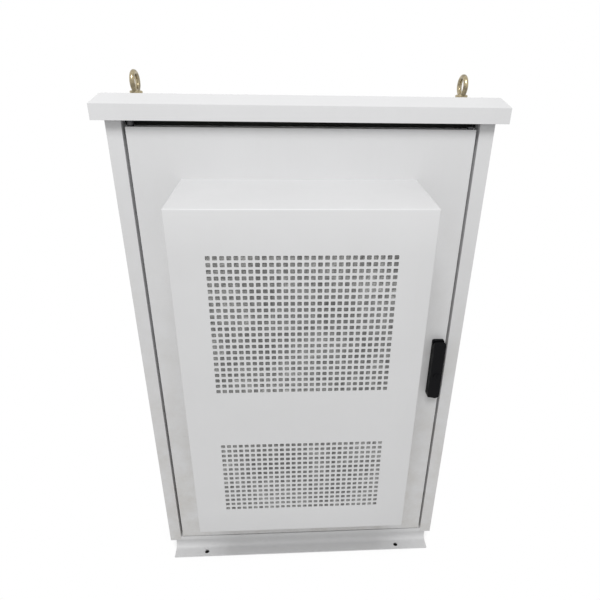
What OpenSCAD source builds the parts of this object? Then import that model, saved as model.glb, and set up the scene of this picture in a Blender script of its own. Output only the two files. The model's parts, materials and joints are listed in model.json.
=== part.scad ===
// Outdoor equipment cabinet: folded sheet body, rain roof with lifting eyes, floor feet, and a hinged
// door that carries a cooling unit behind a punched cover and a swing handle with two lock rods.
// Front is -Y, +Z is up, and the origin is on the floor at the centre of the four anchor holes.

/* [Body] */
// Width over the side walls
cab_w = 700; // [640:1:800]
// Depth from the front posts to the rear panel
cab_d = 300; // [280:1:420]
// Thickness of the folded sheet
sheet_t = 2; // [1.5:0.1:2.5]
// Visible width of each front post
post_w = 28; // [24:1:36]
// Depth of the fold behind each post
post_fold_d = 27; // [26:0.5:32]
// Reach of the door stop beside the hinges
hinge_stop_w = 30; // [26:1:36]
// Reach of the door stop beside the handle
lock_stop_w = 15; // [12:1:18]
// Reach of the door stops along the sill and the top rail
rail_stop_h = 22; // [18:1:26]
// Width of the fold that carries the rear panel
rear_fold_w = 24; // [18:1:32]

/* [Feet] */
// Height of the floor feet
foot_h = 35; // [30:1:60]
// Thickness of the feet's steel
foot_t = 3; // [2:0.5:5]
// Length of each foot along the cabinet
foot_l = 676; // [600:1:690]
// Setback of the riser from the front face
foot_setback = 8; // [6:1:14]
// Width of the floor flange
foot_flange_w = 36; // [34:1:50]
// Width of the top flange under the bottom plate
foot_top_w = 40; // [36:1:60]
// Inner radius of the bend above the floor flange
foot_bend_r = 12; // [6:1:12]
// Spacing of the anchor holes along the cabinet
anchor_span = 510; // [420:1:560]
// Diameter of the anchor holes
anchor_d = 12; // [9:0.5:14]

/* [Roof] */
// Overhang of the roof past the body on every side
roof_overhang = 18; // [12:1:30]
// Height of the roof's lower edge above the floor
roof_edge_z = 1092; // [1088:1:1140]
// Height of the upright lip at the front
roof_lip_h = 27; // [24:1:40]
// Inward run of the bevel above the lip
roof_bevel_run = 17; // [12:1:24]
// Rise of the bevel at the front
roof_bevel_rise = 16; // [12:1:22]
// Fall of the roof towards the rear, in degrees
roof_fall = 3; // [1:0.5:3]

/* [Lifting eyes] */
// Outer diameter of the ring
eye_ring_d = 45; // [36:1:54]
// Thickness of the ring's bar
eye_bar_d = 10; // [8:1:12]
// Diameter of the seat collar
eye_collar_d = 25; // [20:1:30]
// Diameter of the shank
eye_shank_d = 10; // [8:1:12]
// Distance of each eye from the side wall's outer face
eye_inset = 20; // [16:1:40]
// Turn of the rings away from edge-on, in degrees
eye_turn = 2; // [0:1:45]

/* [Door] */
// Gap between the door and the posts
door_gap = 6; // [4:0.5:8]
// Gap between the door and the sill
sill_gap = 3; // [3:0.5:6]
// Gap between the door and the top rail, behind the roof's lip
head_gap = 12; // [9:0.5:12]
// Height of the door's lower edge above the floor
door_z = 50; // [46:1:60]
// Height of the door
door_h = 1030; // [1000:1:1030]
// Depth of the folded door pan
door_d = 22; // [20:0.5:24]
// Width of the door's inner lip on the hinge side
door_hinge_lip_w = 20; // [18:1:24]
// Width of the door's inner lip on the other sides
door_lip_w = 9; // [8:0.5:11]
// Width of the door seal
seal_w = 6; // [4:0.5:7]
// Distance of the hinge axis from the door's edge
hinge_inset = 8; // [7:0.5:10]
// Distance of the hinge axis behind the door's front
hinge_depth = 8.5; // [8:0.5:10]
// Diameter of the hinge pins
hinge_pin_d = 6; // [5:0.5:7]
// Outer diameter of the hinge bushes
hinge_bush_d = 10; // [9:0.5:11]
// Length of the hinge bushes inside the door
hinge_bush_l = 18; // [12:1:26]

/* [Cooling cover] */
// Offset of the cooling unit from the door's middle
unit_x = -6.5; // [-10:0.5:0]
// Width of the cover
cover_w = 444; // [444:1:470]
// Depth of the cover in front of the door
cover_d = 166; // [150:1:190]
// Height of the cover's lower edge above the floor
cover_z = 260; // [250:1:266]
// Height of the cover's front
cover_h = 716; // [710:1:730]
// Rise of the cover's top from its front to the door
cover_top_rise = 13; // [6:1:20]
// Thickness of the cover's sheet
cover_t = 1.5; // [1:0.1:2]
// Width of each square hole
hole_w = 8; // [5:0.1:9]
// Pitch of the holes across the cover
hole_pitch_x = 11.6; // [11:0.1:12.5]
// Pitch of the holes up the cover
hole_pitch_z = 12; // [11.5:0.1:12.5]
// Columns of holes
hole_cols = 28; // [20:1:32]
// Share of the cover's front that the upper grille takes
upper_share = 0.39; // [0.3:0.01:0.4]
// Share of the cover's front that the lower grille takes
lower_share = 0.255; // [0.2:0.005:0.27]
// Drop from the cover's top edge to the first row
grille_drop = 82; // [70:1:100]
// Share of the cover's front from the upper grille's first row to the lower grille's
lower_start_share = 0.553; // [0.52:0.001:0.57]

/* [Cooling unit] */
// Diameter of the fan
fan_d = 250; // [200:1:260]
// Number of fan blades
fan_blades = 7; // [5:1:9]
// Pitch of the fan blades, in degrees
blade_pitch = 32; // [20:1:40]
// Width of the finned block of the condenser
coil_w = 330; // [300:1:340]
// Height of the finned block of the condenser
coil_h = 290; // [270:1:300]
// Thickness of the finned block of the condenser
coil_d = 36; // [24:1:40]
// Diameter of the compressor
comp_d = 104; // [90:1:112]
// Height of the compressor between its domes
comp_h = 120; // [100:1:130]
// Thickness of the filter mats behind the holes
mat_t = 8; // [5:0.5:10]
// Depth of the inner housing behind the door's skin
inner_d = 80; // [70:1:90]

/* [Handle] */
// Length of the handle
handle_l = 145; // [140:1:165]
// Width of the handle
handle_w = 26; // [24:1:30]
// Thickness of the handle's base
handle_base_t = 7; // [6:0.5:11]
// Thickness of the lever
lever_t = 14; // [12:0.5:16]
// Height of the handle's lower end above the floor
handle_z = 496; // [440:1:520]
// Distance of the handle from the door's edge
handle_edge = 4.5; // [4:0.5:8]
// Diameter of the handle's spindle
spindle_d = 10; // [8:0.5:12]
// Radius of the crank that drives the lock rods
crank_r = 9.5; // [8:0.1:9.5]
// Thickness of the lock rods
rod_t = 3; // [2:0.5:4]

/* [Equipment] */
// Width of the mounting plate
plate_w = 560; // [500:1:600]
// Height of the mounting plate
plate_h = 900; // [860:1:940]
// Distance of the mounting plate from the rear panel
plate_standoff = 26; // [20:1:34]
// Length of the equipment rails
rail_l = 480; // [460:1:500]
// Width of one breaker pole
pole_w = 17.8; // [17.5:0.1:18]
// Height of the breakers
breaker_h = 82; // [76:1:90]
// Depth of the breakers in front of the rail
breaker_d = 60; // [52:1:66]

/* [Hidden] */
$fn = 48;
overrun = 1;
fit_gap = 0.3;
run_gap = 0.05;

// Body places
front_y = -cab_d / 2;
rear_y = cab_d / 2;
side_x = cab_w / 2;
deck_z = foot_h + sheet_t;
stop_y = front_y + post_fold_d - sheet_t;
rear_seat_y = rear_y - sheet_t;
fall_rate = tan(roof_fall);

// Roof places: heights on the centre line, from which the planes fall to the rear
roof_y = cab_d / 2 + roof_overhang;
roof_x = cab_w / 2 + roof_overhang;
lip_mid_z = roof_edge_z + roof_lip_h - roof_y * fall_rate;
crown_mid_z = roof_edge_z + roof_lip_h + roof_bevel_rise - (roof_y - roof_bevel_run) * fall_rate;
crown_rise = crown_mid_z - lip_mid_z;
bevel_a = atan2(crown_rise, roof_bevel_run);
inner_lip_drop = sheet_t * (1 - sin(bevel_a)) / cos(bevel_a);
inner_crown_run = (sheet_t + (crown_rise - sheet_t) * cos(bevel_a)) / sin(bevel_a);
eye_x = side_x - eye_inset;
eye_r = (eye_ring_d - eye_bar_d) / 2;
eye_collar_h = 6;
eye_shank_l = 26;
eye_nut_d = 17;
eye_nut_h = 8;

// Feet places
riser_y = front_y + foot_setback;
anchor_edge = 13;
anchor_y = riser_y + foot_t - foot_flange_w + anchor_edge;
foot_bolt_d = 8;
foot_bolt_inset = 56;
foot_bolt_span = foot_l - 2 * foot_bolt_inset;
foot_bolt_head_d = 13;
foot_bolt_head_h = 5;

// Door places
door_w = cab_w - 2 * post_w - 2 * door_gap;
door_x = door_w / 2;
door_top_z = door_z + door_h;
skin_y = front_y + sheet_t;
door_back_y = front_y + door_d;
sill_z = door_z - sill_gap;
head_z = door_top_z + head_gap;
hinge_x = -door_x + hinge_inset;
hinge_y = front_y + hinge_depth;
bush_collar_h = 1.5;
bush_collar_d = 12;
pin_tail = 2 * sheet_t;
seal_t = stop_y - door_back_y - fit_gap;
seal_edge = 2;

// Cover places
cover_x = cover_w / 2;
cover_y = front_y - cover_d;
cover_top_z = cover_z + cover_h;
grille_top_z = cover_top_z - grille_drop;
upper_rows = floor(upper_share * cover_h / hole_pitch_z);
lower_rows = floor(lower_share * cover_h / hole_pitch_z);
lower_start_rows = round(lower_start_share * cover_h / hole_pitch_z);
lower_top_z = grille_top_z - lower_start_rows * hole_pitch_z;
chassis_x = cover_x - cover_t;
chassis_flange = 22;
chassis_margin = 24;
chassis_z = cover_z + chassis_margin;
chassis_top_z = cover_top_z - chassis_margin;
chassis_y = front_y - cover_t;
cover_screw_d = 5;
cover_screw_head_d = 9;
cover_screw_head_h = 2.5;
cover_screw_shares = [0.1, 0.5, 0.9];

// Cooling unit places
window_w = 360;
window_edge = 60;
window_z = cover_z + window_edge;
window_top_z = cover_top_z - window_edge;
coil_z = grille_top_z - coil_h + hole_pitch_z;
coil_front_gap = 22;
coil_y = cover_y + cover_t + coil_front_gap;
coil_end_t = 2;
coil_end_w = 18;
coil_groove_w = 3;
coil_groove_d = 4;
coil_groove_pitch = 10;
fan_z = coil_z + coil_h / 2;
shroud_y = coil_y + coil_d;
shroud_ring_d = 14;
shroud_tip_gap = 4;
blade_span_y = 30;
blade_t = 2;
hub_d = 76;
fan_gap = 10;
mat_lap = 12;
fan_y = shroud_y + fan_gap;
motor_d = 86;
motor_shaft_d = 8;
motor_face_y = fan_y + blade_span_y + fan_gap / 2;
shelf_y = cover_y + cover_t + coil_front_gap / 2;
comp_y = (shelf_y + chassis_y) / 2;
comp_x = -window_w / 4;
comp_foot_h = 12;
comp_foot_reach = 8;
comp_foot_r = comp_d / 2 + comp_foot_reach;
comp_foot_d = 20;
comp_dome_share = 0.3;
pipe_d = 10;
inner_lap = 15;
inner_x = window_w / 2 + inner_lap;
inner_z = window_z - inner_lap;
inner_top_z = window_top_z + inner_lap;
inner_back_y = skin_y + inner_d;
inner_flange = 14;
louvre_w = 240;
louvre_h = 8;
louvre_pitch = 20;
louvre_count = 8;
louvre_low_share = 0.08;
louvre_high_share = 0.66;
evap_w = 300;
evap_h = 240;
evap_d = 42;

// Handle places
handle_x = door_x - handle_edge - handle_w / 2;
handle_top_z = handle_z + handle_l;
base_y = front_y - handle_base_t;
lever_y = base_y - fit_gap;
lever_front_y = lever_y - lever_t;
spindle_drop = 14;
spindle_z = handle_top_z - spindle_drop;
lever_axis_y = lever_y - lever_t / 2;
lever_pin_d = 4;
lever_bevel = 7;
lever_slant = 4;
handle_corner_r = 4;
tongue_w = 10;
lever_skin = 2;
crank_t = 3;
crank_y = skin_y + overrun;
crank_rim = 3;
crank_disc_r = crank_r + crank_rim;
crank_pin_d = 4;
rod_y = crank_y + crank_t + fit_gap;
crank_rest_a = 45;
yoke_play = 0.5;
tongue_r = lever_t / 2 - lever_skin - yoke_play;
yoke_wall = 1.2;
rod_in_x = crank_r * cos(crank_rest_a) - crank_pin_d / 2 - yoke_wall - yoke_play;
rod_out_x = crank_r + crank_pin_d / 2 + yoke_wall + yoke_play;
rod_w = rod_out_x - rod_in_x;
rod_rest_gap = 7.5;
rod_slot_gap = 1;
guide_wall = 1.4;
guide_h = 16;
guide_upper_shares = [0.3, 0.75];
guide_lower_shares = [0.25, 0.7];
cylinder_d = 14;
cylinder_drop = 85;
cylinder_proud = 1.5;

// Colours of the finishes
coat_c = [0.86, 0.87, 0.86];
steel_c = [0.75, 0.75, 0.74];
zinc_c = [0.72, 0.58, 0.26];
black_c = [0.1, 0.1, 0.1];
alu_c = [0.8, 0.82, 0.84];
copper_c = [0.72, 0.42, 0.26];
breaker_c = [0.9, 0.9, 0.88];
mat_c = [0.5, 0.5, 0.48];

// A box from its lowest to its highest corner
module block(low, high) {
    translate(low) cube(high - low);
}

// A round bar along Y from one place to another
module bar_y(x, from_y, to_y, z, d) {
    translate([x, from_y, z]) rotate([-90, 0, 0]) cylinder(h = to_y - from_y, d = d);
}

// Everything above the plane that lies the given depth under the roof's crown
module above_roof(depth) {
    reach = cab_w + cab_d;
    translate([0, 0, crown_mid_z - depth / cos(roof_fall)]) rotate([-roof_fall, 0, 0])
        translate([-reach, -reach, 0]) cube([2 * reach, 2 * reach, reach]);
}

// A place on the roof's crown, with Z square to it
module on_roof(x) {
    translate([x, 0, crown_mid_z]) rotate([-roof_fall, 0, 0]) children();
}

// One side of the body: wall, post, fold behind the post, door stop and rear fold in one sheet
module side_profile(stop_w) {
    translate([-side_x, front_y]) square([sheet_t, rear_seat_y - front_y]);
    translate([-side_x, front_y]) square([post_w, sheet_t]);
    translate([-side_x + post_w - sheet_t, front_y]) square([sheet_t, post_fold_d]);
    translate([-side_x + post_w - sheet_t, stop_y]) square([sheet_t + stop_w, sheet_t]);
    translate([-side_x, rear_seat_y - sheet_t]) square([rear_fold_w, sheet_t]);
}

module side_panel(stop_w) {
    difference() {
        translate([0, 0, deck_z]) linear_extrude(crown_mid_z) side_profile(stop_w);
        above_roof(2 * sheet_t);
    }
}

module left_side_panel() {
    color(coat_c) side_panel(hinge_stop_w);
}

module right_side_panel() {
    color(coat_c) mirror([1, 0, 0]) side_panel(lock_stop_w);
}

// Rear panel, seated on the rear folds of both sides
rear_screw_d = 5;
rear_screw_head_d = 9;
rear_screw_head_h = 3;
rear_screw_shares = [0.08, 0.36, 0.64, 0.92];
rear_screw_x = side_x - rear_fold_w / 2 - sheet_t / 2;
function rear_screw_z(share) = deck_z + share * (roof_edge_z - deck_z);

module rear_panel() {
    color(coat_c) difference() {
        block([-side_x, rear_seat_y, deck_z], [side_x, rear_y, crown_mid_z]);
        above_roof(2 * sheet_t);
        for (s = [-1, 1], k = rear_screw_shares)
            bar_y(s * rear_screw_x, rear_seat_y - overrun, rear_y + overrun, rear_screw_z(k),
                rear_screw_d + fit_gap);
    }
}

module rear_panel_screws() {
    color(steel_c) for (s = [-1, 1], k = rear_screw_shares) {
        bar_y(s * rear_screw_x, rear_y, rear_y + rear_screw_head_h, rear_screw_z(k), rear_screw_head_d);
        bar_y(s * rear_screw_x, rear_seat_y, rear_y, rear_screw_z(k), rear_screw_d);
    }
}

// Bottom plate with the cable opening that the gland plate closes
gland_w = 300;
gland_d = 90;
gland_lap = 16;
gland_y = rear_y - gland_d / 2 - 2 * rear_fold_w;
gland_screw_d = 5;
gland_screw_head_d = 9;
gland_screw_head_h = 3;
foot_bolt_share = 0.75;
foot_bolt_y = riser_y + foot_bolt_share * foot_top_w;

module gland_screw_places() {
    for (sx = [-1, 1], sy = [-1, 1])
        translate([sx * (gland_w + gland_lap) / 2, gland_y + sy * (gland_d + gland_lap) / 2, foot_h])
            children();
}

module foot_bolt_places() {
    for (sx = [-1, 1], sy = [-1, 1])
        translate([sx * foot_bolt_span / 2, sy * foot_bolt_y, foot_h]) children();
}

module bottom_plate() {
    color(coat_c) difference() {
        block([-side_x, front_y, foot_h], [side_x, rear_y, deck_z]);
        block([-gland_w / 2, gland_y - gland_d / 2, foot_h - overrun],
            [gland_w / 2, gland_y + gland_d / 2, deck_z + overrun]);
        gland_screw_places() translate([0, 0, -overrun])
            cylinder(h = sheet_t + 2 * overrun, d = gland_screw_d + fit_gap);
        foot_bolt_places() translate([0, 0, -overrun])
            cylinder(h = sheet_t + 2 * overrun, d = foot_bolt_d + fit_gap);
    }
}

module gland_plate() {
    color(alu_c) difference() {
        block([-gland_w / 2 - gland_lap, gland_y - gland_d / 2 - gland_lap, deck_z],
            [gland_w / 2 + gland_lap, gland_y + gland_d / 2 + gland_lap, deck_z + sheet_t]);
        gland_screw_places() cylinder(h = 2 * sheet_t + overrun, d = gland_screw_d + fit_gap);
    }
}

module gland_plate_screws() {
    color(steel_c) gland_screw_places() {
        cylinder(h = 2 * sheet_t, d = gland_screw_d);
        translate([0, 0, 2 * sheet_t]) cylinder(h = gland_screw_head_h, d = gland_screw_head_d);
    }
}

// Top plate under the roof, with the holes of the lifting eyes
module top_plate() {
    color(coat_c) difference() {
        block([-side_x, front_y, roof_edge_z], [side_x, rear_y, crown_mid_z + cab_d]);
        above_roof(sheet_t + run_gap);
        for (s = [-1, 1]) on_roof(s * eye_x) translate([0, 0, -roof_lip_h])
            cylinder(h = roof_lip_h, d = eye_shank_d + fit_gap);
        difference() {
            block([-cab_w, -cab_d, 0], [cab_w, cab_d, crown_mid_z + cab_d]);
            above_roof(2 * sheet_t);
        }
    }
}

// Sill and top rail between the posts, each with the stop that the door closes on
rail_x = side_x - post_w;
stop_from_x = -rail_x + hinge_stop_w;
stop_to_x = rail_x - lock_stop_w;

module rod_slot(side, low_z, high_z) {
    mid_x = handle_x + side * (rod_in_x + rod_out_x) / 2;
    half_w = rod_w / 2 + rod_slot_gap;
    block([mid_x - half_w, rod_y - rod_slot_gap, low_z],
        [mid_x + half_w, rod_y + rod_t + rod_slot_gap, high_z]);
}

module front_sill() {
    color(coat_c) difference() {
        union() {
            block([-rail_x, front_y, deck_z], [rail_x, front_y + sheet_t, sill_z]);
            block([-rail_x, front_y, sill_z - sheet_t], [rail_x, stop_y, sill_z]);
            block([stop_from_x, stop_y - sheet_t, sill_z - sheet_t], [stop_to_x, stop_y + sheet_t, sill_z]);
            block([stop_from_x, stop_y, sill_z - sheet_t],
                [stop_to_x, stop_y + sheet_t, sill_z + rail_stop_h]);
        }
        translate([hinge_x, hinge_y, sill_z - sheet_t - overrun])
            cylinder(h = sheet_t + 2 * overrun, d = hinge_pin_d + fit_gap);
        rod_slot(-1, sill_z - sheet_t - overrun, sill_z + overrun);
    }
}

module front_top_rail() {
    color(coat_c) difference() {
        union() {
            block([-rail_x, front_y, head_z], [rail_x, front_y + sheet_t, crown_mid_z + roof_bevel_rise]);
            block([-rail_x, front_y, head_z], [rail_x, stop_y, head_z + sheet_t]);
            block([stop_from_x, stop_y - sheet_t, head_z], [stop_to_x, stop_y + sheet_t, head_z + sheet_t]);
            block([stop_from_x, stop_y, head_z - rail_stop_h],
                [stop_to_x, stop_y + sheet_t, head_z + sheet_t]);
        }
        above_roof(2 * sheet_t);
        translate([hinge_x, hinge_y, head_z - overrun])
            cylinder(h = sheet_t + 2 * overrun, d = hinge_pin_d + fit_gap);
        rod_slot(1, head_z - overrun, head_z + sheet_t + overrun);
    }
}

// Roof: an upright lip, a bevel and a crown that falls to the rear, folded from one sheet
function roof_ring(x, y, mid_z, rate) = [[-x, -y, mid_z + y * rate], [x, -y, mid_z + y * rate],
    [x, y, mid_z - y * rate], [-x, y, mid_z - y * rate]];

module roof_solid(wall, edge_z, lip_z, crown_run, crown_z) {
    edge = roof_ring(roof_x - wall, roof_y - wall, edge_z, 0);
    lip = roof_ring(roof_x - wall, roof_y - wall, lip_z, fall_rate);
    crown = roof_ring(roof_x - crown_run, roof_y - crown_run, crown_z, fall_rate);
    n = len(edge);
    under = [for (k = [0:n - 1]) k];
    over = [for (k = [1:n]) 3 * n - k];
    sides = [for (r = [0, n], k = [0:n - 1]) [r + k, r + n + k, r + n + (k + 1) % n, r + (k + 1) % n]];
    polyhedron(concat(edge, lip, crown), concat([under, over], sides));
}

module roof_cap() {
    color(coat_c) difference() {
        roof_solid(0, roof_edge_z, lip_mid_z, roof_bevel_run, crown_mid_z);
        roof_solid(sheet_t, roof_edge_z - overrun, lip_mid_z - inner_lip_drop, inner_crown_run,
            crown_mid_z - sheet_t / cos(roof_fall));
        for (s = [-1, 1]) on_roof(s * eye_x) translate([0, 0, -roof_lip_h])
            cylinder(h = 2 * roof_lip_h, d = eye_shank_d + fit_gap);
    }
}

// Lifting eyes with their nuts under the top plate
module lifting_eye(side) {
    on_roof(side * eye_x) {
        cylinder(h = eye_collar_h, d = eye_collar_d);
        translate([0, 0, -eye_shank_l]) cylinder(h = eye_shank_l, d = eye_shank_d);
        translate([0, 0, eye_ring_d / 2]) rotate([0, 90, side * eye_turn])
            rotate_extrude() translate([eye_r, 0]) circle(d = eye_bar_d);
    }
}

module lifting_eye_left() {
    color(zinc_c) lifting_eye(-1);
}

module lifting_eye_right() {
    color(zinc_c) lifting_eye(1);
}

module lifting_eye_nuts() {
    low_z = -2 * sheet_t - run_gap - eye_nut_h;
    color(zinc_c) for (s = [-1, 1]) on_roof(s * eye_x) difference() {
        translate([0, 0, low_z]) cylinder(h = eye_nut_h, d = eye_nut_d, $fn = 6);
        translate([0, 0, low_z - overrun]) cylinder(h = eye_nut_h + 2 * overrun, d = eye_shank_d + fit_gap);
    }
}

// Floor feet: top flange, riser, a wide bend and floor flange in one strip
module foot_profile() {
    toe_y = riser_y + foot_t - foot_flange_w;
    bend_y = riser_y - foot_bend_r;
    bend_z = foot_t + foot_bend_r;
    translate([toe_y, 0]) square([bend_y - toe_y, foot_t]);
    translate([riser_y, bend_z]) square([foot_t, foot_h - bend_z]);
    translate([riser_y, foot_h - foot_t]) square([foot_top_w, foot_t]);
    intersection() {
        translate([bend_y, 0]) square([bend_z, bend_z]);
        translate([bend_y, bend_z]) difference() {
            circle(bend_z);
            circle(foot_bend_r);
        }
    }
}

module base_foot() {
    difference() {
        translate([-foot_l / 2, 0, 0]) rotate([90, 0, 90]) linear_extrude(foot_l) foot_profile();
        for (s = [-1, 1]) translate([s * anchor_span / 2, anchor_y, -overrun])
            cylinder(h = foot_t + 2 * overrun, d = anchor_d);
        for (s = [-1, 1]) translate([s * foot_bolt_span / 2, foot_bolt_y, foot_h - foot_t - overrun])
            cylinder(h = foot_t + 2 * overrun, d = foot_bolt_d + fit_gap);
    }
}

module base_foot_front() {
    color(coat_c) base_foot();
}

module base_foot_rear() {
    color(coat_c) mirror([0, 1, 0]) base_foot();
}

module foot_bolts() {
    color(steel_c) foot_bolt_places() {
        translate([0, 0, sheet_t]) cylinder(h = foot_bolt_head_h, d = foot_bolt_head_d, $fn = 6);
        translate([0, 0, -foot_t]) cylinder(h = foot_t + sheet_t, d = foot_bolt_d);
        translate([0, 0, -foot_t - foot_bolt_head_h])
            cylinder(h = foot_bolt_head_h, d = foot_bolt_head_d, $fn = 6);
    }
}

// Hinge pins, one upright in the sill and one hanging from the top rail
module hinge_pin(gap) {
    cylinder(h = gap - bush_collar_h - fit_gap, d = bush_collar_d);
    translate([0, 0, -pin_tail]) cylinder(h = pin_tail + gap + hinge_bush_l, d = hinge_pin_d);
}

module hinge_pin_lower() {
    color(steel_c) translate([hinge_x, hinge_y, sill_z]) hinge_pin(sill_gap);
}

module hinge_pin_upper() {
    color(steel_c) translate([hinge_x, hinge_y, head_z]) mirror([0, 0, 1]) hinge_pin(head_gap);
}

// Door: one sheet folded to a pan, with inner lips, the unit's window and the lock's openings
spindle_hole_gap = 2;

module door_panel() {
    color(coat_c) difference() {
        block([-door_x, front_y, door_z], [door_x, door_back_y, door_top_z]);
        block([-door_x + sheet_t, skin_y, door_z + sheet_t],
            [door_x - sheet_t, door_back_y - sheet_t, door_top_z - sheet_t]);
        block([-door_x + sheet_t + door_hinge_lip_w, skin_y, door_z + sheet_t + door_lip_w],
            [door_x - sheet_t - door_lip_w, door_back_y + overrun, door_top_z - sheet_t - door_lip_w]);
        block([unit_x - window_w / 2, front_y - overrun, window_z],
            [unit_x + window_w / 2, skin_y + overrun, window_top_z]);
        bar_y(handle_x, front_y - overrun, skin_y + overrun, spindle_z, spindle_d + spindle_hole_gap);
        for (z = [door_z, door_top_z - sheet_t]) translate([hinge_x, hinge_y, z - overrun])
            cylinder(h = sheet_t + 2 * overrun, d = hinge_bush_d + fit_gap);
        rod_slot(-1, door_z - overrun, door_z + sheet_t + overrun);
        rod_slot(1, door_top_z - sheet_t - overrun, door_top_z + overrun);
    }
}

module door_seal() {
    from_x = hinge_x + seal_edge;
    to_x = door_x - seal_edge;
    color(black_c) difference() {
        block([from_x, door_back_y, door_z + seal_edge],
            [to_x, door_back_y + seal_t, door_top_z - seal_edge]);
        block([from_x + seal_w, door_back_y - overrun, door_z + seal_edge + seal_w],
            [to_x - seal_w, door_back_y + seal_t + overrun, door_top_z - seal_edge - seal_w]);
    }
}

module hinge_bush() {
    difference() {
        union() {
            translate([0, 0, -bush_collar_h]) cylinder(h = bush_collar_h, d = bush_collar_d);
            cylinder(h = hinge_bush_l, d = hinge_bush_d);
        }
        translate([0, 0, -bush_collar_h - overrun])
            cylinder(h = bush_collar_h + hinge_bush_l + 2 * overrun, d = hinge_pin_d + 2 * run_gap);
    }
}

module hinge_bush_lower() {
    color(steel_c) translate([hinge_x, hinge_y, door_z]) hinge_bush();
}

module hinge_bush_upper() {
    color(steel_c) translate([hinge_x, hinge_y, door_top_z]) mirror([0, 0, 1]) hinge_bush();
}

// The cooling unit's own middle, to one side of the door's
module on_unit() {
    translate([unit_x, 0, 0]) children();
}

// Cooling cover: a folded box with a sloping top and two fields of punched square holes
cover_slope = cover_top_rise / cover_d;
function cover_top(y) = cover_top_z + (y - cover_y) * cover_slope;
grille_half_w = (hole_cols - 1) * hole_pitch_x / 2;

module cover_block(inset, back_y) {
    near_y = cover_y + inset;
    translate([-cover_x + inset, 0, 0]) rotate([90, 0, 90]) linear_extrude(cover_w - 2 * inset)
        polygon([[near_y, cover_z + inset], [back_y, cover_z + inset],
            [back_y, cover_top(back_y) - inset], [near_y, cover_top(near_y) - inset]]);
}

module grille_holes(top_z, rows) {
    half = hole_w / 2;
    for (c = [0:hole_cols - 1], r = [0:rows - 1]) {
        x = c * hole_pitch_x - grille_half_w;
        z = top_z - r * hole_pitch_z;
        block([x - half, cover_y - overrun, z - half], [x + half, cover_y + cover_t + overrun, z + half]);
    }
}

module cover_screw_places() {
    for (s = [-1, 1], k = cover_screw_shares)
        translate([s * cover_x, chassis_y - chassis_flange / 2, chassis_z + k * (chassis_top_z - chassis_z)])
            rotate([0, s * 90, 0]) children();
}

module cooling_cover() {
    color(coat_c) on_unit() difference() {
        cover_block(0, front_y);
        cover_block(cover_t, front_y + overrun);
        grille_holes(grille_top_z, upper_rows);
        grille_holes(lower_top_z, lower_rows);
        cover_screw_places() translate([0, 0, -cover_t - overrun])
            cylinder(h = cover_t + 2 * overrun, d = cover_screw_d + fit_gap);
    }
}

module cover_screws() {
    color(steel_c) on_unit() cover_screw_places() {
        cylinder(h = cover_screw_head_h, d = cover_screw_head_d);
        translate([0, 0, -2 * cover_t]) cylinder(h = 2 * cover_t, d = cover_screw_d);
    }
}

// Filter mats against the back of the cover's front, one behind each field of holes
module filter_mat(top_z, rows) {
    half = grille_half_w + mat_lap;
    near_y = cover_y + cover_t;
    low_z = top_z - (rows - 1) * hole_pitch_z - mat_lap;
    block([-half, near_y, low_z], [half, near_y + mat_t, top_z + mat_lap]);
}

module filter_mats() {
    color(mat_c) on_unit() {
        filter_mat(grille_top_z, upper_rows);
        filter_mat(lower_top_z, lower_rows);
    }
}

// Chassis of the cooling unit: back plate, side flanges and shelf in one folded sheet
module unit_chassis() {
    color(steel_c) on_unit() difference() {
        union() {
            block([-chassis_x, chassis_y, chassis_z], [chassis_x, front_y, chassis_top_z]);
            block([-chassis_x, shelf_y, chassis_z], [chassis_x, front_y, chassis_z + cover_t]);
            for (s = [0, 1]) mirror([s, 0, 0])
                block([chassis_x - cover_t, chassis_y - chassis_flange, chassis_z],
                    [chassis_x, front_y, chassis_top_z]);
        }
        cover_screw_places() translate([0, 0, -2 * cover_t - overrun])
            cylinder(h = 2 * cover_t + 2 * overrun, d = cover_screw_d + fit_gap);
    }
}

// Condenser: finned block between two end plates that stand on the chassis
module condenser_coil() {
    half = coil_w / 2;
    grooves = floor((coil_w - coil_groove_pitch) / coil_groove_pitch);
    color(alu_c) on_unit() {
        difference() {
            block([-half, coil_y, coil_z], [half, shroud_y, coil_z + coil_h]);
            for (k = [0:grooves]) {
                x = (k - grooves / 2) * coil_groove_pitch;
                block([x - coil_groove_w / 2, coil_y - overrun, coil_z - overrun],
                    [x + coil_groove_w / 2, coil_y + coil_groove_d, coil_z + coil_h + overrun]);
            }
        }
        for (s = [0, 1]) mirror([s, 0, 0]) {
            block([half, coil_y, coil_z], [half + coil_end_t, chassis_y, coil_z + coil_h]);
            block([half, chassis_y - coil_end_t, coil_z], [half + coil_end_w, chassis_y, coil_z + coil_h]);
        }
    }
}

module fan_shroud() {
    bore_d = fan_d + 2 * shroud_tip_gap;
    color(steel_c) on_unit() difference() {
        union() {
            block([-coil_w / 2, shroud_y, coil_z], [coil_w / 2, shroud_y + cover_t, coil_z + coil_h]);
            bar_y(0, shroud_y, shroud_y + shroud_ring_d, fan_z, bore_d + 2 * cover_t);
        }
        bar_y(0, shroud_y - overrun, shroud_y + shroud_ring_d + overrun, fan_z, bore_d);
    }
}

module fan_motor() {
    color(black_c) on_unit() {
        bar_y(0, motor_face_y, chassis_y, fan_z, motor_d);
        bar_y(0, fan_y, motor_face_y, fan_z, motor_shaft_d);
    }
}

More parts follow.
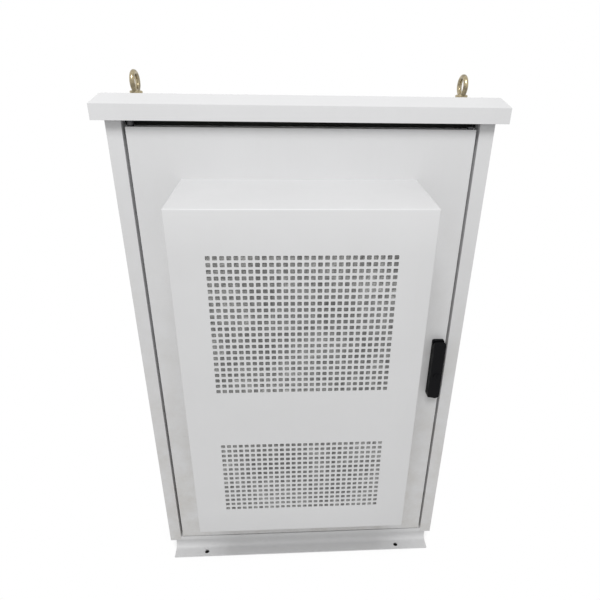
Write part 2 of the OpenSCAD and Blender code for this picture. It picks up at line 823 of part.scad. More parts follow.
module fan_rotor() {
    chord = (blade_span_y - 2 * blade_t) / sin(blade_pitch);
    color(black_c) on_unit() difference() {
        union() {
            bar_y(0, fan_y, fan_y + blade_span_y, fan_z, hub_d);
            for (k = [0:fan_blades - 1]) intersection() {
                difference() {
                    bar_y(0, fan_y, fan_y + blade_span_y, fan_z, fan_d);
                    bar_y(0, fan_y - overrun, fan_y + blade_span_y + overrun, fan_z, hub_d - 2 * blade_t);
                }
                translate([0, fan_y + blade_span_y / 2, fan_z]) rotate([0, k * 360 / fan_blades, 0])
                    rotate([0, 0, blade_pitch]) translate([-chord / 2, -blade_t / 2, 0])
                        cube([chord, blade_t, fan_d]);
            }
        }
        bar_y(0, fan_y - overrun, fan_y + blade_span_y + overrun, fan_z, motor_shaft_d + 2 * run_gap);
    }
}

// Compressor: a can with two domes on three feet
comp_r = comp_d / 2;
comp_dome_h = comp_dome_share * comp_r;
comp_dome_r = (comp_r * comp_r + comp_dome_h * comp_dome_h) / (2 * comp_dome_h);
comp_z = chassis_z + cover_t + comp_foot_h + comp_dome_h;
comp_top_z = comp_z + comp_h + comp_dome_h;
comp_arm_t = 3;
comp_feet = 3;

module compressor() {
    color(black_c) on_unit() translate([comp_x, comp_y, comp_z]) {
        cylinder(h = comp_h, r = comp_r);
        for (flip = [0, 1]) translate([0, 0, (1 - flip) * comp_h]) mirror([0, 0, flip]) intersection() {
            cylinder(h = comp_dome_h, r = comp_r);
            translate([0, 0, comp_dome_h - comp_dome_r]) sphere(comp_dome_r);
        }
        for (k = [0:comp_feet - 1]) rotate([0, 0, k * 360 / comp_feet]) {
            translate([comp_foot_r, 0, -comp_dome_h - comp_foot_h])
                cylinder(h = comp_foot_h, d = comp_foot_d);
            translate([0, -comp_foot_d / 2, -comp_dome_h - comp_arm_t])
                cube([comp_foot_r, comp_foot_d, comp_arm_t + comp_dome_h]);
        }
    }
}

module refrigerant_pipes() {
    turn_z = (comp_top_z + coil_z) / 2;
    coil_mid_y = (coil_y + shroud_y) / 2;
    color(copper_c) on_unit() {
        translate([comp_x, comp_y, comp_top_z]) cylinder(h = turn_z - comp_top_z, d = pipe_d);
        bar_y(comp_x, coil_mid_y, comp_y, turn_z, pipe_d);
        translate([comp_x, coil_mid_y, turn_z]) cylinder(h = coil_z - turn_z, d = pipe_d);
        for (y = [comp_y, coil_mid_y]) translate([comp_x, y, turn_z]) sphere(d = pipe_d);
        bar_y(comp_x, comp_y + comp_r, chassis_y, comp_z + comp_h / 2, pipe_d);
    }
}

// Inner housing on the door's back, with a return and a supply field of slots
module louvres(share) {
    low_z = inner_z + share * (inner_top_z - inner_z);
    for (k = [0:louvre_count - 1])
        translate([-louvre_w / 2, inner_back_y - cover_t - overrun, low_z + k * louvre_pitch])
            cube([louvre_w, cover_t + 2 * overrun, louvre_h]);
}

module inner_housing() {
    color(coat_c) on_unit() difference() {
        union() {
            block([-inner_x, skin_y, inner_z], [inner_x, inner_back_y, inner_top_z]);
            block([-inner_x - inner_flange, skin_y, inner_z - inner_flange],
                [inner_x + inner_flange, skin_y + cover_t, inner_top_z + inner_flange]);
        }
        block([-inner_x + cover_t, skin_y - overrun, inner_z + cover_t],
            [inner_x - cover_t, inner_back_y - cover_t, inner_top_z - cover_t]);
        louvres(louvre_low_share);
        louvres(louvre_high_share);
    }
}

module evaporator_coil() {
    color(alu_c) on_unit() block([-evap_w / 2, front_y, fan_z - evap_h / 2],
        [evap_w / 2, front_y + evap_d, fan_z + evap_h / 2]);
}

// Swing handle: flat base, lever with a bevelled head, and a spindle whose crank drives two rods
lever_back_bevel = 9;
lever_head_bevel = 3;
lever_slot_drop = 12;
lever_slot_rise = 8;
key_w = 1.4;
key_h = 8;
key_depth = 1;
crank_pin_tail = 1;
crank_x = crank_r * cos(crank_rest_a);
crank_z = crank_r * sin(crank_rest_a);

module handle_outline(from_y, to_y) {
    low_x = handle_x - handle_w / 2;
    high_x = handle_x + handle_w / 2;
    r = handle_corner_r;
    translate([0, to_y, 0]) rotate([90, 0, 0]) linear_extrude(to_y - from_y) {
        polygon([[low_x, handle_z + lever_slant], [high_x - 2 * r, handle_z], [high_x, handle_z + r],
            [high_x, handle_top_z - r], [high_x - r, handle_top_z],
            [low_x + r, handle_top_z], [low_x, handle_top_z - r]]);
        for (x = [low_x + r, high_x - r]) translate([x, handle_top_z - r]) circle(r);
    }
}

module bar_x(mid_x, len, y, z, d) {
    translate([mid_x - len / 2, y, z]) rotate([0, 90, 0]) cylinder(h = len, d = d);
}

module handle_base() {
    color(black_c) difference() {
        handle_outline(base_y, front_y);
        bar_y(handle_x, base_y - overrun, front_y + overrun, spindle_z, spindle_d + 2 * run_gap);
    }
}

module handle_spindle() {
    color(steel_c) difference() {
        union() {
            bar_x(handle_x, tongue_w, lever_axis_y, spindle_z, 2 * tongue_r);
            bar_y(handle_x, lever_axis_y, crank_y + crank_t, spindle_z, spindle_d);
            bar_y(handle_x, crank_y, crank_y + crank_t, spindle_z, 2 * crank_disc_r);
            for (s = [-1, 1]) bar_y(handle_x + s * crank_x, crank_y, rod_y + rod_t + crank_pin_tail,
                spindle_z - s * crank_z, crank_pin_d);
        }
        bar_x(handle_x, tongue_w + 2 * overrun, lever_axis_y, spindle_z, lever_pin_d + fit_gap);
    }
}

module lever_pin() {
    color(steel_c) bar_x(handle_x, handle_w - 2 * overrun, lever_axis_y, spindle_z, lever_pin_d);
}

module handle_lever() {
    slot_x = tongue_w / 2 + fit_gap;
    lock_z = handle_top_z - cylinder_drop;
    color(black_c) difference() {
        intersection() {
            handle_outline(lever_front_y, lever_y);
            translate([handle_x - handle_w, 0, 0]) rotate([90, 0, 90]) linear_extrude(2 * handle_w)
                polygon([[lever_y, handle_z - overrun], [lever_y, spindle_z],
                    [lever_y - lever_back_bevel, handle_top_z],
                    [lever_front_y + lever_head_bevel, handle_top_z],
                    [lever_front_y, handle_top_z - lever_bevel], [lever_front_y, handle_z - overrun]]);
        }
        block([handle_x - slot_x, lever_front_y + lever_skin, spindle_z - lever_slot_drop],
            [handle_x + slot_x, lever_y + overrun, spindle_z + lever_slot_rise]);
        bar_x(handle_x, 2 * handle_w, lever_axis_y, spindle_z, lever_pin_d + 2 * run_gap);
        bar_y(handle_x, lever_front_y - overrun, lever_y - lever_skin, lock_z, cylinder_d + 2 * run_gap);
    }
}

module lock_cylinder() {
    lock_z = handle_top_z - cylinder_drop;
    near_y = lever_front_y - cylinder_proud;
    color(steel_c) difference() {
        bar_y(handle_x, near_y, lever_y - lever_skin - fit_gap, lock_z, cylinder_d);
        block([handle_x - key_w / 2, near_y - overrun, lock_z - key_h / 2],
            [handle_x + key_w / 2, near_y + key_depth, lock_z + key_h / 2]);
    }
}

// Lock rods: flat strips with a cross slot that the crank's pin runs in
module lock_rod(side, low_z, high_z) {
    pin_z = spindle_z - side * crank_z;
    half_slot = crank_pin_d / 2 + yoke_play;
    ends = [handle_x + side * rod_in_x, handle_x + side * rod_out_x];
    slot_ends = [handle_x + side * (crank_x - half_slot), handle_x + side * (crank_r + half_slot)];
    difference() {
        block([min(ends), rod_y, low_z], [max(ends), rod_y + rod_t, high_z]);
        block([min(slot_ends), rod_y - overrun, pin_z - half_slot],
            [max(slot_ends), rod_y + rod_t + overrun, pin_z + half_slot]);
    }
}

yoke_reach = crank_z + crank_pin_d / 2 + yoke_play + yoke_wall;

module lock_rod_upper() {
    color(steel_c) lock_rod(1, spindle_z - yoke_reach, head_z - rod_rest_gap);
}

module lock_rod_lower() {
    color(steel_c) lock_rod(-1, sill_z + rod_rest_gap, spindle_z + yoke_reach);
}

module rod_guide(side, z) {
    ends = [handle_x + side * rod_in_x, handle_x + side * rod_out_x];
    wall = fit_gap + guide_wall;
    difference() {
        block([min(ends) - wall, skin_y, z], [max(ends) + wall, rod_y + rod_t + wall, z + guide_h]);
        block([min(ends) - fit_gap, rod_y - fit_gap, z - overrun],
            [max(ends) + fit_gap, rod_y + rod_t + fit_gap, z + guide_h + overrun]);
    }
}

module rod_guides() {
    color(black_c) {
        for (k = guide_upper_shares) rod_guide(1, spindle_z + k * (door_top_z - spindle_z));
        for (k = guide_lower_shares) rod_guide(-1, door_z + k * (spindle_z - door_z));
    }
}

// Mounting plate on standoffs in front of the rear panel
plate_y = rear_seat_y - plate_standoff - sheet_t;
plate_z = deck_z + (roof_edge_z - deck_z - plate_h) / 2;
standoff_d = 14;
standoff_edge = 30;
upper_rail_share = 0.74;
lower_rail_share = 0.42;
bar_share = 0.14;

module mounting_plate() {
    color(steel_c) block([-plate_w / 2, plate_y, plate_z],
        [plate_w / 2, plate_y + sheet_t, plate_z + plate_h]);
}

module plate_standoffs() {
    color(steel_c) for (s = [-1, 1], z = [plate_z + standoff_edge, plate_z + plate_h - standoff_edge])
        bar_y(s * (plate_w / 2 - standoff_edge), plate_y + sheet_t, rear_seat_y, z, standoff_d);
}

// Top-hat rails for the switchgear
hat_h = 35;
hat_d = 7.5;
hat_t = 1;
hat_web_h = 27;
hat_y = plate_y - hat_d;

module equipment_rail(share) {
    z = plate_z + share * plate_h;
    x = rail_l / 2;
    block([-x, plate_y - hat_t, z - hat_web_h / 2], [x, plate_y, z + hat_web_h / 2]);
    for (s = [0, 1]) translate([0, 0, z]) mirror([0, 0, s]) {
        block([-x, hat_y, hat_web_h / 2 - hat_t], [x, plate_y, hat_web_h / 2]);
        block([-x, hat_y, hat_web_h / 2 - hat_t], [x, hat_y + hat_t, hat_h / 2]);
    }
}

module equipment_rail_upper() {
    color(steel_c) equipment_rail(upper_rail_share);
}

module equipment_rail_lower() {
    color(steel_c) equipment_rail(lower_rail_share);
}

// Breakers: stepped bodies on the upper rail, each with a toggle in a round pocket
breaker_z = plate_z + upper_rail_share * plate_h;
nose_h = 45;
nose_d = 14;
toggle_r = 6;
toggle_w = 7;
toggle_l = 10;
toggle_t = 4;
toggle_sink = 2;
toggle_rest_a = 35;
breaker_y = hat_y - breaker_d;
toggle_y = breaker_y + toggle_sink;
main_poles = 3;
branch_count = 4;
main_share = -0.32;
branch_share = -0.08;
breaker_step = pole_w + fit_gap;
main_x = main_share * rail_l;
function branch_x(k) = branch_share * rail_l + k * breaker_step;

module breaker(x, w) {
    step_y = breaker_y + nose_d;
    difference() {
        translate([x - w / 2, 0, breaker_z]) rotate([90, 0, 90]) linear_extrude(w)
            polygon([[hat_y, -breaker_h / 2], [hat_y, breaker_h / 2], [step_y, breaker_h / 2],
                [step_y, nose_h / 2], [breaker_y, nose_h / 2], [breaker_y, -nose_h / 2],
                [step_y, -nose_h / 2], [step_y, -breaker_h / 2]]);
        bar_x(x, toggle_w + 2 * fit_gap, toggle_y, breaker_z, 2 * toggle_r + 2 * fit_gap);
    }
}

module toggle(x) {
    bar_x(x, toggle_w, toggle_y, breaker_z, 2 * toggle_r);
    translate([x, toggle_y, breaker_z]) rotate([toggle_rest_a, 0, 0])
        block([-toggle_w / 2, -toggle_r - toggle_l, -toggle_t / 2], [toggle_w / 2, 0, toggle_t / 2]);
}

module main_breaker() {
    color(breaker_c) breaker(main_x, main_poles * pole_w);
}

module branch_breakers() {
    color(breaker_c) for (k = [0:branch_count - 1]) breaker(branch_x(k), pole_w);
}

module main_toggle() {
    color(black_c) toggle(main_x);
}

module branch_toggle(k) {
    color(black_c) toggle(branch_x(k));
}

module branch_toggle_1() {
    branch_toggle(0);
}

module branch_toggle_2() {
    branch_toggle(1);
}

module branch_toggle_3() {
    branch_toggle(2);
}

module branch_toggle_4() {
    branch_toggle(3);
}

// Terminal blocks on the lower rail, and the neutral and earth bars under them
terminal_w = 8;
terminal_h = 46;
terminal_d = 40;
terminal_count = 10;
terminal_hole_d = 4;
terminal_hole_share = 0.36;
bar_l = 170;
bar_h = 12;
bar_t = 8;
bar_standoff = 18;
bar_support_d = 14;
bar_hole_d = 5;
bar_holes = 9;
bar_gap = 60;
bar_end_share = 0.4;
bar_z = plate_z + bar_share * plate_h;

module terminal_blocks() {
    z = plate_z + lower_rail_share * plate_h;
    step = terminal_w + fit_gap;
    near_y = hat_y - terminal_d;
    color(breaker_c) for (k = [0:terminal_count - 1]) {
        x = (k - (terminal_count - 1) / 2) * step;
        difference() {
            block([x - terminal_w / 2, near_y, z - terminal_h / 2],
                [x + terminal_w / 2, hat_y, z + terminal_h / 2]);
            for (s = [-1, 1]) bar_y(x, near_y - overrun, near_y + terminal_d / 2,
                z + s * terminal_hole_share * terminal_h, terminal_hole_d);
        }
    }
}

module bar_link(side) {
    mid_x = side * (bar_l + bar_gap) / 2;
    from_y = plate_y - bar_standoff - bar_t;
    step = bar_l / (bar_holes + 1);
    difference() {
        block([mid_x - bar_l / 2, from_y, bar_z - bar_h / 2],
            [mid_x + bar_l / 2, from_y + bar_t, bar_z + bar_h / 2]);
        for (k = [1:bar_holes]) bar_y(mid_x - bar_l / 2 + k * step, from_y - overrun,
            from_y + bar_t + overrun, bar_z, bar_hole_d);
    }
}

module neutral_bar() {
    color(zinc_c) bar_link(-1);
}

module earth_bar() {
    color(zinc_c) bar_link(1);
}

module bar_supports() {
    color(black_c) for (s = [-1, 1], e = [-1, 1])
        bar_y(s * (bar_l + bar_gap) / 2 + e * bar_end_share * bar_l, plate_y - bar_standoff, plate_y, bar_z,
            bar_support_d);
}

left_side_panel();
right_side_panel();
rear_panel();
bottom_plate();
top_plate();
front_sill();
front_top_rail();
roof_cap();
lifting_eye_left();
lifting_eye_right();
lifting_eye_nuts();
base_foot_front();
base_foot_rear();
foot_bolts();
hinge_pin_lower();
hinge_pin_upper();
rear_panel_screws();
gland_plate();
gland_plate_screws();
mounting_plate();
plate_standoffs();
equipment_rail_upper();
equipment_rail_lower();
main_breaker();
branch_breakers();
terminal_blocks();
neutral_bar();
earth_bar();
bar_supports();
door_panel();
door_seal();
hinge_bush_lower();
hinge_bush_upper();
cooling_cover();
cover_screws();
filter_mats();
unit_chassis();
condenser_coil();
fan_shroud();
fan_motor();
fan_rotor();
compressor();
refrigerant_pipes();
inner_housing();
evaporator_coil();
handle_base();
handle_spindle();
lever_pin();
handle_lever();
lock_cylinder();
rod_guides();
lock_rod_upper();
lock_rod_lower();
main_toggle();
branch_toggle_1();
branch_toggle_2();
branch_toggle_3();
branch_toggle_4();
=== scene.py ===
import json
import math

import bmesh
import bpy
from mathutils import Matrix, Vector

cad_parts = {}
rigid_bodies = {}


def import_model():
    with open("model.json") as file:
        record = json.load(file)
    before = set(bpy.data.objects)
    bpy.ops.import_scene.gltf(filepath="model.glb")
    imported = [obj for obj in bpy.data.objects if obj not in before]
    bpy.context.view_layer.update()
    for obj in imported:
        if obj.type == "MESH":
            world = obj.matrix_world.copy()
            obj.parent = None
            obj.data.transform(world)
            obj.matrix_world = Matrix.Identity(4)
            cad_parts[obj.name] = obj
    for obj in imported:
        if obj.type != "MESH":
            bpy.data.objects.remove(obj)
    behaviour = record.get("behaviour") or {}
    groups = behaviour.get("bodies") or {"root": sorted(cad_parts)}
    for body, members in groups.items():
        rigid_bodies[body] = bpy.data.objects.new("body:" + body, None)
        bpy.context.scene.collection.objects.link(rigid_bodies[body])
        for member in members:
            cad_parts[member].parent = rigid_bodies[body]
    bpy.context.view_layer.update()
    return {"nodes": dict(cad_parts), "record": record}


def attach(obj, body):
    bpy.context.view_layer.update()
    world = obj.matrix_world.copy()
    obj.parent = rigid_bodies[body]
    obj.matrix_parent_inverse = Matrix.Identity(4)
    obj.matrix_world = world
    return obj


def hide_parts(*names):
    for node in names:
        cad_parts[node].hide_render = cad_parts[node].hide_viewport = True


for leftover in list(bpy.data.objects):
    bpy.data.objects.remove(leftover)
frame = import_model()
bodyOf = {node: body for body, nodes in frame["record"]["behaviour"]["bodies"].items() for node in nodes}
mm = 0.001
print("frame loaded:", len(frame["nodes"]), "nodes")


# Shader node groups shared by the finishes

def newGroup(name, inputs, outputs):
    group = bpy.data.node_groups.new(name, "ShaderNodeTree")
    for label, kind, value in inputs:
        socket = group.interface.new_socket(name=label, in_out="INPUT", socket_type=kind)
        socket.default_value = value
    for label, kind in outputs:
        group.interface.new_socket(name=label, in_out="OUTPUT", socket_type=kind)
    return group, group.nodes.new("NodeGroupInput"), group.nodes.new("NodeGroupOutput")


def addNode(tree, kind, links=(), **settings):
    node = tree.nodes.new(kind)
    values = settings.pop("values", {})
    for key, value in settings.items():
        setattr(node, key, value)
    for key, value in values.items():
        node.inputs[key].default_value = value
    for key, source in links:
        tree.links.new(source, node.inputs[key])
    return node


def noiseAt(tree, vector, scale, detail=2.0, roughness=0.5):
    links = [("Vector", vector)]
    values = {"Detail": detail, "Roughness": roughness}
    if isinstance(scale, (int, float)):
        values["Scale"] = scale
    else:
        links.append(("Scale", scale))
    return addNode(tree, "ShaderNodeTexNoise", links, values=values).outputs["Fac"]


def remap(tree, value, low, high, outLow=0.0, outHigh=1.0):
    node = addNode(tree, "ShaderNodeMapRange", [("Value", value)],
                   values={"From Min": low, "From Max": high, "To Min": outLow, "To Max": outHigh})
    return node.outputs["Result"]


def mixColour(tree, factor, first, second):
    node = addNode(tree, "ShaderNodeMix", data_type="RGBA")
    for index, value in ((0, factor), (6, first), (7, second)):
        if isinstance(value, bpy.types.NodeSocket):
            tree.links.new(value, node.inputs[index])
        else:
            node.inputs[index].default_value = value
    return node.outputs[2]


def maths(tree, operation, first, second, clamp=False):
    node = addNode(tree, "ShaderNodeMath", operation=operation, use_clamp=clamp)
    for index, value in ((0, first), (1, second)):
        if isinstance(value, bpy.types.NodeSocket):
            tree.links.new(value, node.inputs[index])
        else:
            node.inputs[index].default_value = value
    return node.outputs[0]


# Orange peel of a sprayed or baked coat: fine ripples, slow drift in tone, uneven gloss
def buildPeelGroup():
    group, entry, leave = newGroup(
        "coatPeel",
        [("Vector", "NodeSocketVector", (0, 0, 0)), ("Ripple Scale", "NodeSocketFloat", 420.0),
         ("Speckle Scale", "NodeSocketFloat", 2600.0)],
        [("Height", "NodeSocketFloat"), ("Drift", "NodeSocketFloat"), ("Gloss", "NodeSocketFloat")])
    vector = entry.outputs["Vector"]
    ripple = noiseAt(group, vector, entry.outputs["Ripple Scale"], 2.0)
    speckle = noiseAt(group, vector, entry.outputs["Speckle Scale"], 1.0)
    height = maths(group, "ADD", ripple, maths(group, "MULTIPLY", speckle, 0.35))
    drift = remap(group, noiseAt(group, vector, 5.0, 4.0, 0.6), 0.3, 0.7)
    gloss = remap(group, noiseAt(group, vector, 38.0, 5.0, 0.65), 0.3, 0.7)
    group.links.new(height, leave.inputs["Height"])
    group.links.new(drift, leave.inputs["Drift"])
    group.links.new(gloss, leave.inputs["Gloss"])
    return group


# Dust and splash: thick near the ground, thin on whatever faces up; raised to a metre on the door and sides,
# the same mask lays painted shade that darkens them downwards
def buildDustAndShadeGroup():
    group, entry, leave = newGroup(
        "settledDust",
        [("Vector", "NodeSocketVector", (0, 0, 0)), ("Low", "NodeSocketFloat", 0.0),
         ("High", "NodeSocketFloat", 0.35), ("Top Share", "NodeSocketFloat", 0.3)],
        [("Mask", "NodeSocketFloat"), ("Streak", "NodeSocketFloat")])
    vector = entry.outputs["Vector"]
    split = addNode(group, "ShaderNodeSeparateXYZ", [("Vector", vector)])
    rise = addNode(group, "ShaderNodeMapRange", [
        ("Value", split.outputs["Z"]), ("From Min", entry.outputs["High"]),
        ("From Max", entry.outputs["Low"])]).outputs["Result"]
    facing = addNode(group, "ShaderNodeSeparateXYZ",
                     [("Vector", addNode(group, "ShaderNodeNewGeometry").outputs["Normal"])]).outputs["Z"]
    top = maths(group, "MULTIPLY", remap(group, facing, 0.5, 1.0), entry.outputs["Top Share"])
    cloud = remap(group, noiseAt(group, vector, 14.0, 6.0, 0.7), 0.35, 0.75)
    mask = maths(group, "MULTIPLY", maths(group, "ADD", rise, top, True), cloud, True)
    squeezed = addNode(group, "ShaderNodeMapping", [("Vector", vector)], values={"Scale": (60.0, 60.0, 2.2)})
    streak = remap(group, noiseAt(group, squeezed.outputs["Vector"], 1.0, 3.0, 0.6), 0.52, 0.8)
    group.links.new(mask, leave.inputs["Mask"])
    group.links.new(streak, leave.inputs["Streak"])
    return group


# Rolled or plated metal: fine drawn lines along one way, crystals of the plating, stains, which on the yellow
# zinc are painted reflection
def buildMetalGroup():
    group, entry, leave = newGroup(
        "platedGrain",
        [("Vector", "NodeSocketVector", (0, 0, 0)), ("Stretch", "NodeSocketVector", (1500.0, 1500.0, 30.0)),
         ("Crystal Scale", "NodeSocketFloat", 260.0), ("Stain Scale", "NodeSocketFloat", 22.0)],
        [("Lines", "NodeSocketFloat"), ("Crystals", "NodeSocketFloat"), ("Stain", "NodeSocketFloat")])
    vector = entry.outputs["Vector"]
    stretched = addNode(group, "ShaderNodeVectorMath", [(0, vector), (1, entry.outputs["Stretch"])],
                        operation="MULTIPLY").outputs[0]
    lines = noiseAt(group, stretched, 1.0, 3.0, 0.6)
    crystals = addNode(group, "ShaderNodeTexVoronoi",
                       [("Vector", vector), ("Scale", entry.outputs["Crystal Scale"])]).outputs["Color"]
    tone = addNode(group, "ShaderNodeSeparateColor", [("Color", crystals)]).outputs[0]
    stain = remap(group, noiseAt(group, vector, entry.outputs["Stain Scale"], 5.0, 0.65), 0.45, 0.8)
    group.links.new(lines, leave.inputs["Lines"])
    group.links.new(tone, leave.inputs["Crystals"])
    group.links.new(stain, leave.inputs["Stain"])
    return group


# Laid fibres of a fleece: crossed strands that clump, with dirt caught between them
def buildFleeceGroup():
    group, entry, leave = newGroup(
        "laidFleece",
        [("Vector", "NodeSocketVector", (0, 0, 0)), ("Strand Scale", "NodeSocketFloat", 240.0),
         ("Clump Scale", "NodeSocketFloat", 70.0)],
        [("Height", "NodeSocketFloat"), ("Clump", "NodeSocketFloat"), ("Soot", "NodeSocketFloat")])
    vector = entry.outputs["Vector"]
    bent = addNode(group, "ShaderNodeTexNoise", [("Vector", vector), ("Scale", entry.outputs["Clump Scale"])],
                   values={"Detail": 2.0}).outputs["Color"]
    pushed = addNode(group, "ShaderNodeVectorMath", [(0, bent), (2, vector)], operation="MULTIPLY_ADD",
                     values={1: (0.02, 0.02, 0.02)}).outputs[0]
    strands = addNode(group, "ShaderNodeTexVoronoi", [
        ("Vector", pushed), ("Scale", entry.outputs["Strand Scale"])],
        feature="DISTANCE_TO_EDGE").outputs["Distance"]
    clump = remap(group, noiseAt(group, vector, entry.outputs["Clump Scale"], 4.0, 0.65), 0.3, 0.72)
    soot = remap(group, noiseAt(group, vector, 9.0, 3.0, 0.6), 0.35, 0.7)
    group.links.new(remap(group, strands, 0.0, 0.22, 1.0, 0.0), leave.inputs["Height"])
    group.links.new(clump, leave.inputs["Clump"])
    group.links.new(soot, leave.inputs["Soot"])
    return group


peelGroup = buildPeelGroup()
fleeceGroup = buildFleeceGroup()
dustAndShadeGroup = buildDustAndShadeGroup()
metalGroup = buildMetalGroup()


def startMaterial(name):
    material = bpy.data.materials.new(name)
    material.use_nodes = True
    tree = material.node_tree
    shader = tree.nodes["Principled BSDF"]
    place = addNode(tree, "ShaderNodeTexCoord").outputs["Object"]
    return material, tree, shader, place


def placeGroup(tree, group, vector, **values):
    node = addNode(tree, "ShaderNodeGroup", node_tree=group)
    tree.links.new(vector, node.inputs["Vector"])
    for key, value in values.items():
        node.inputs[key].default_value = value
    return node


def bumpInto(tree, shader, height, strength, distance):
    bump = addNode(tree, "ShaderNodeBump", [("Height", height)],
                   values={"Strength": strength, "Distance": distance})
    tree.links.new(bump.outputs["Normal"], shader.inputs["Normal"])


# How much rougher full dust makes a coat, and a full stain a metal
dustRoughens = 0.12
stainRoughens = 0.15


# Powder coat, satin enamel and moulded plastic differ in colour, gloss, ripple and dirt; on one coat the dirt
# mask lays painted shade
def makeCoat(name, look):
    material, tree, shader, place = startMaterial(name)
    peel = placeGroup(tree, peelGroup, place, **{"Ripple Scale": look["rippleScale"]})
    dust = placeGroup(tree, dustAndShadeGroup, place, Low=look["dustLow"], High=look["dustHigh"],
                      **{"Top Share": look["dustTop"]})
    body = mixColour(tree, peel.outputs["Drift"], look["dark"], look["light"])
    dirtAndShadeShare = maths(tree, "MULTIPLY", dust.outputs["Mask"], look["dustShare"])
    streakShare = maths(tree, "MULTIPLY", dust.outputs["Streak"], look["streakShare"])
    dirtyAndShaded = mixColour(tree, dirtAndShadeShare, body, look["dust"])
    streaked = mixColour(tree, streakShare, dirtyAndShaded, look["dust"])
    tree.links.new(streaked, shader.inputs["Base Color"])
    rough = remap(tree, peel.outputs["Gloss"], 0.0, 1.0, look["roughLow"], look["roughHigh"])
    dulled = maths(tree, "MULTIPLY", dust.outputs["Mask"], dustRoughens)
    tree.links.new(maths(tree, "ADD", rough, dulled, True), shader.inputs["Roughness"])
    shader.inputs["Specular IOR Level"].default_value = look["shine"]
    bumpInto(tree, shader, peel.outputs["Height"], look["bump"], look["bumpDepth"])
    return material


def makeMetal(name, look):
    material, tree, shader, place = startMaterial(name)
    grain = placeGroup(tree, metalGroup, place, Stretch=look["stretch"],
                       **{"Crystal Scale": look["crystalScale"], "Stain Scale": look["stainScale"]})
    base = mixColour(tree, maths(tree, "MULTIPLY", grain.outputs["Crystals"], look["crystalShare"]),
                     look["light"], look["dark"])
    stainedAndReflecting = mixColour(tree, maths(tree, "MULTIPLY", grain.outputs["Stain"], look["stainShare"]), base,
                        look["stain"])
    tree.links.new(stainedAndReflecting, shader.inputs["Base Color"])
    shader.inputs["Metallic"].default_value = 1.0
    rough = remap(tree, grain.outputs["Lines"], 0.25, 0.75, look["roughLow"], look["roughHigh"])
    dulled = maths(tree, "MULTIPLY", grain.outputs["Stain"], stainRoughens)
    tree.links.new(maths(tree, "ADD", rough, dulled, True), shader.inputs["Roughness"])
    bumpInto(tree, shader, grain.outputs["Lines"], look["bump"], look["bumpDepth"])
    return material


def makeFleece(name, look):
    material, tree, shader, place = startMaterial(name)
    fleece = placeGroup(tree, fleeceGroup, place)
    strand = mixColour(tree, fleece.outputs["Clump"], look["deep"], look["strand"])
    sootShare = maths(tree, "MULTIPLY", fleece.outputs["Soot"], look["sootShare"])
    sooty = mixColour(tree, sootShare, strand, look["soot"])
    tree.links.new(sooty, shader.inputs["Base Color"])
    shader.inputs["Roughness"].default_value = 0.95
    shader.inputs["Specular IOR Level"].default_value = 0.15
    bumpInto(tree, shader, fleece.outputs["Height"], look["bump"], look["bumpDepth"])
    return material


dustAndShadeTone = (0.42, 0.38, 0.31, 1.0)
coatLook = {
    "dark": (0.682, 0.683, 0.688, 1.0), "light": (0.707, 0.708, 0.714, 1.0), "dust": dustAndShadeTone,
    "dustLow": 0.0, "dustHigh": 0.12, "dustTop": 0.04, "dustShare": 0.05, "streakShare": 0.02,
    "roughLow": 0.36, "roughHigh": 0.46, "shine": 0.45,
    "rippleScale": 420.0, "bump": 0.16, "bumpDepth": 0.0003}
blackLook = {
    "dark": (0.004, 0.004, 0.005, 1.0), "light": (0.008, 0.008, 0.009, 1.0),
    "dust": (0.10, 0.095, 0.085, 1.0),
    "dustLow": 0.0, "dustHigh": 0.05, "dustTop": 0.2, "dustShare": 0.08, "streakShare": 0.01,
    "roughLow": 0.42, "roughHigh": 0.56, "shine": 0.07,
    "rippleScale": 900.0, "bump": 0.22, "bumpDepth": 0.0002}
rubberLook = {
    "dark": (0.012, 0.012, 0.012, 1.0), "light": (0.026, 0.026, 0.025, 1.0), "dust": (0.14, 0.13, 0.12, 1.0),
    "dustLow": 0.0, "dustHigh": 0.1, "dustTop": 0.4, "dustShare": 0.2, "streakShare": 0.04,
    "roughLow": 0.72, "roughHigh": 0.9, "shine": 0.25,
    "rippleScale": 1500.0, "bump": 0.5, "bumpDepth": 0.0004}
plasticLook = {
    "dark": (0.56, 0.56, 0.535, 1.0), "light": (0.61, 0.61, 0.59, 1.0), "dust": dustAndShadeTone,
    "dustLow": 0.0, "dustHigh": 0.05, "dustTop": 0.3, "dustShare": 0.15, "streakShare": 0.02,
    "roughLow": 0.42, "roughHigh": 0.55, "shine": 0.4,
    "rippleScale": 1400.0, "bump": 0.2, "bumpDepth": 0.00015}
zincLook = {
    "light": (0.62, 0.63, 0.64, 1.0), "dark": (0.47, 0.48, 0.50, 1.0), "stain": (0.36, 0.36, 0.35, 1.0),
    "stretch": (900.0, 900.0, 40.0), "crystalScale": 190.0, "stainScale": 22.0,
    "crystalShare": 0.6, "stainShare": 0.25,
    "roughLow": 0.28, "roughHigh": 0.42, "bump": 0.2, "bumpDepth": 0.00004}
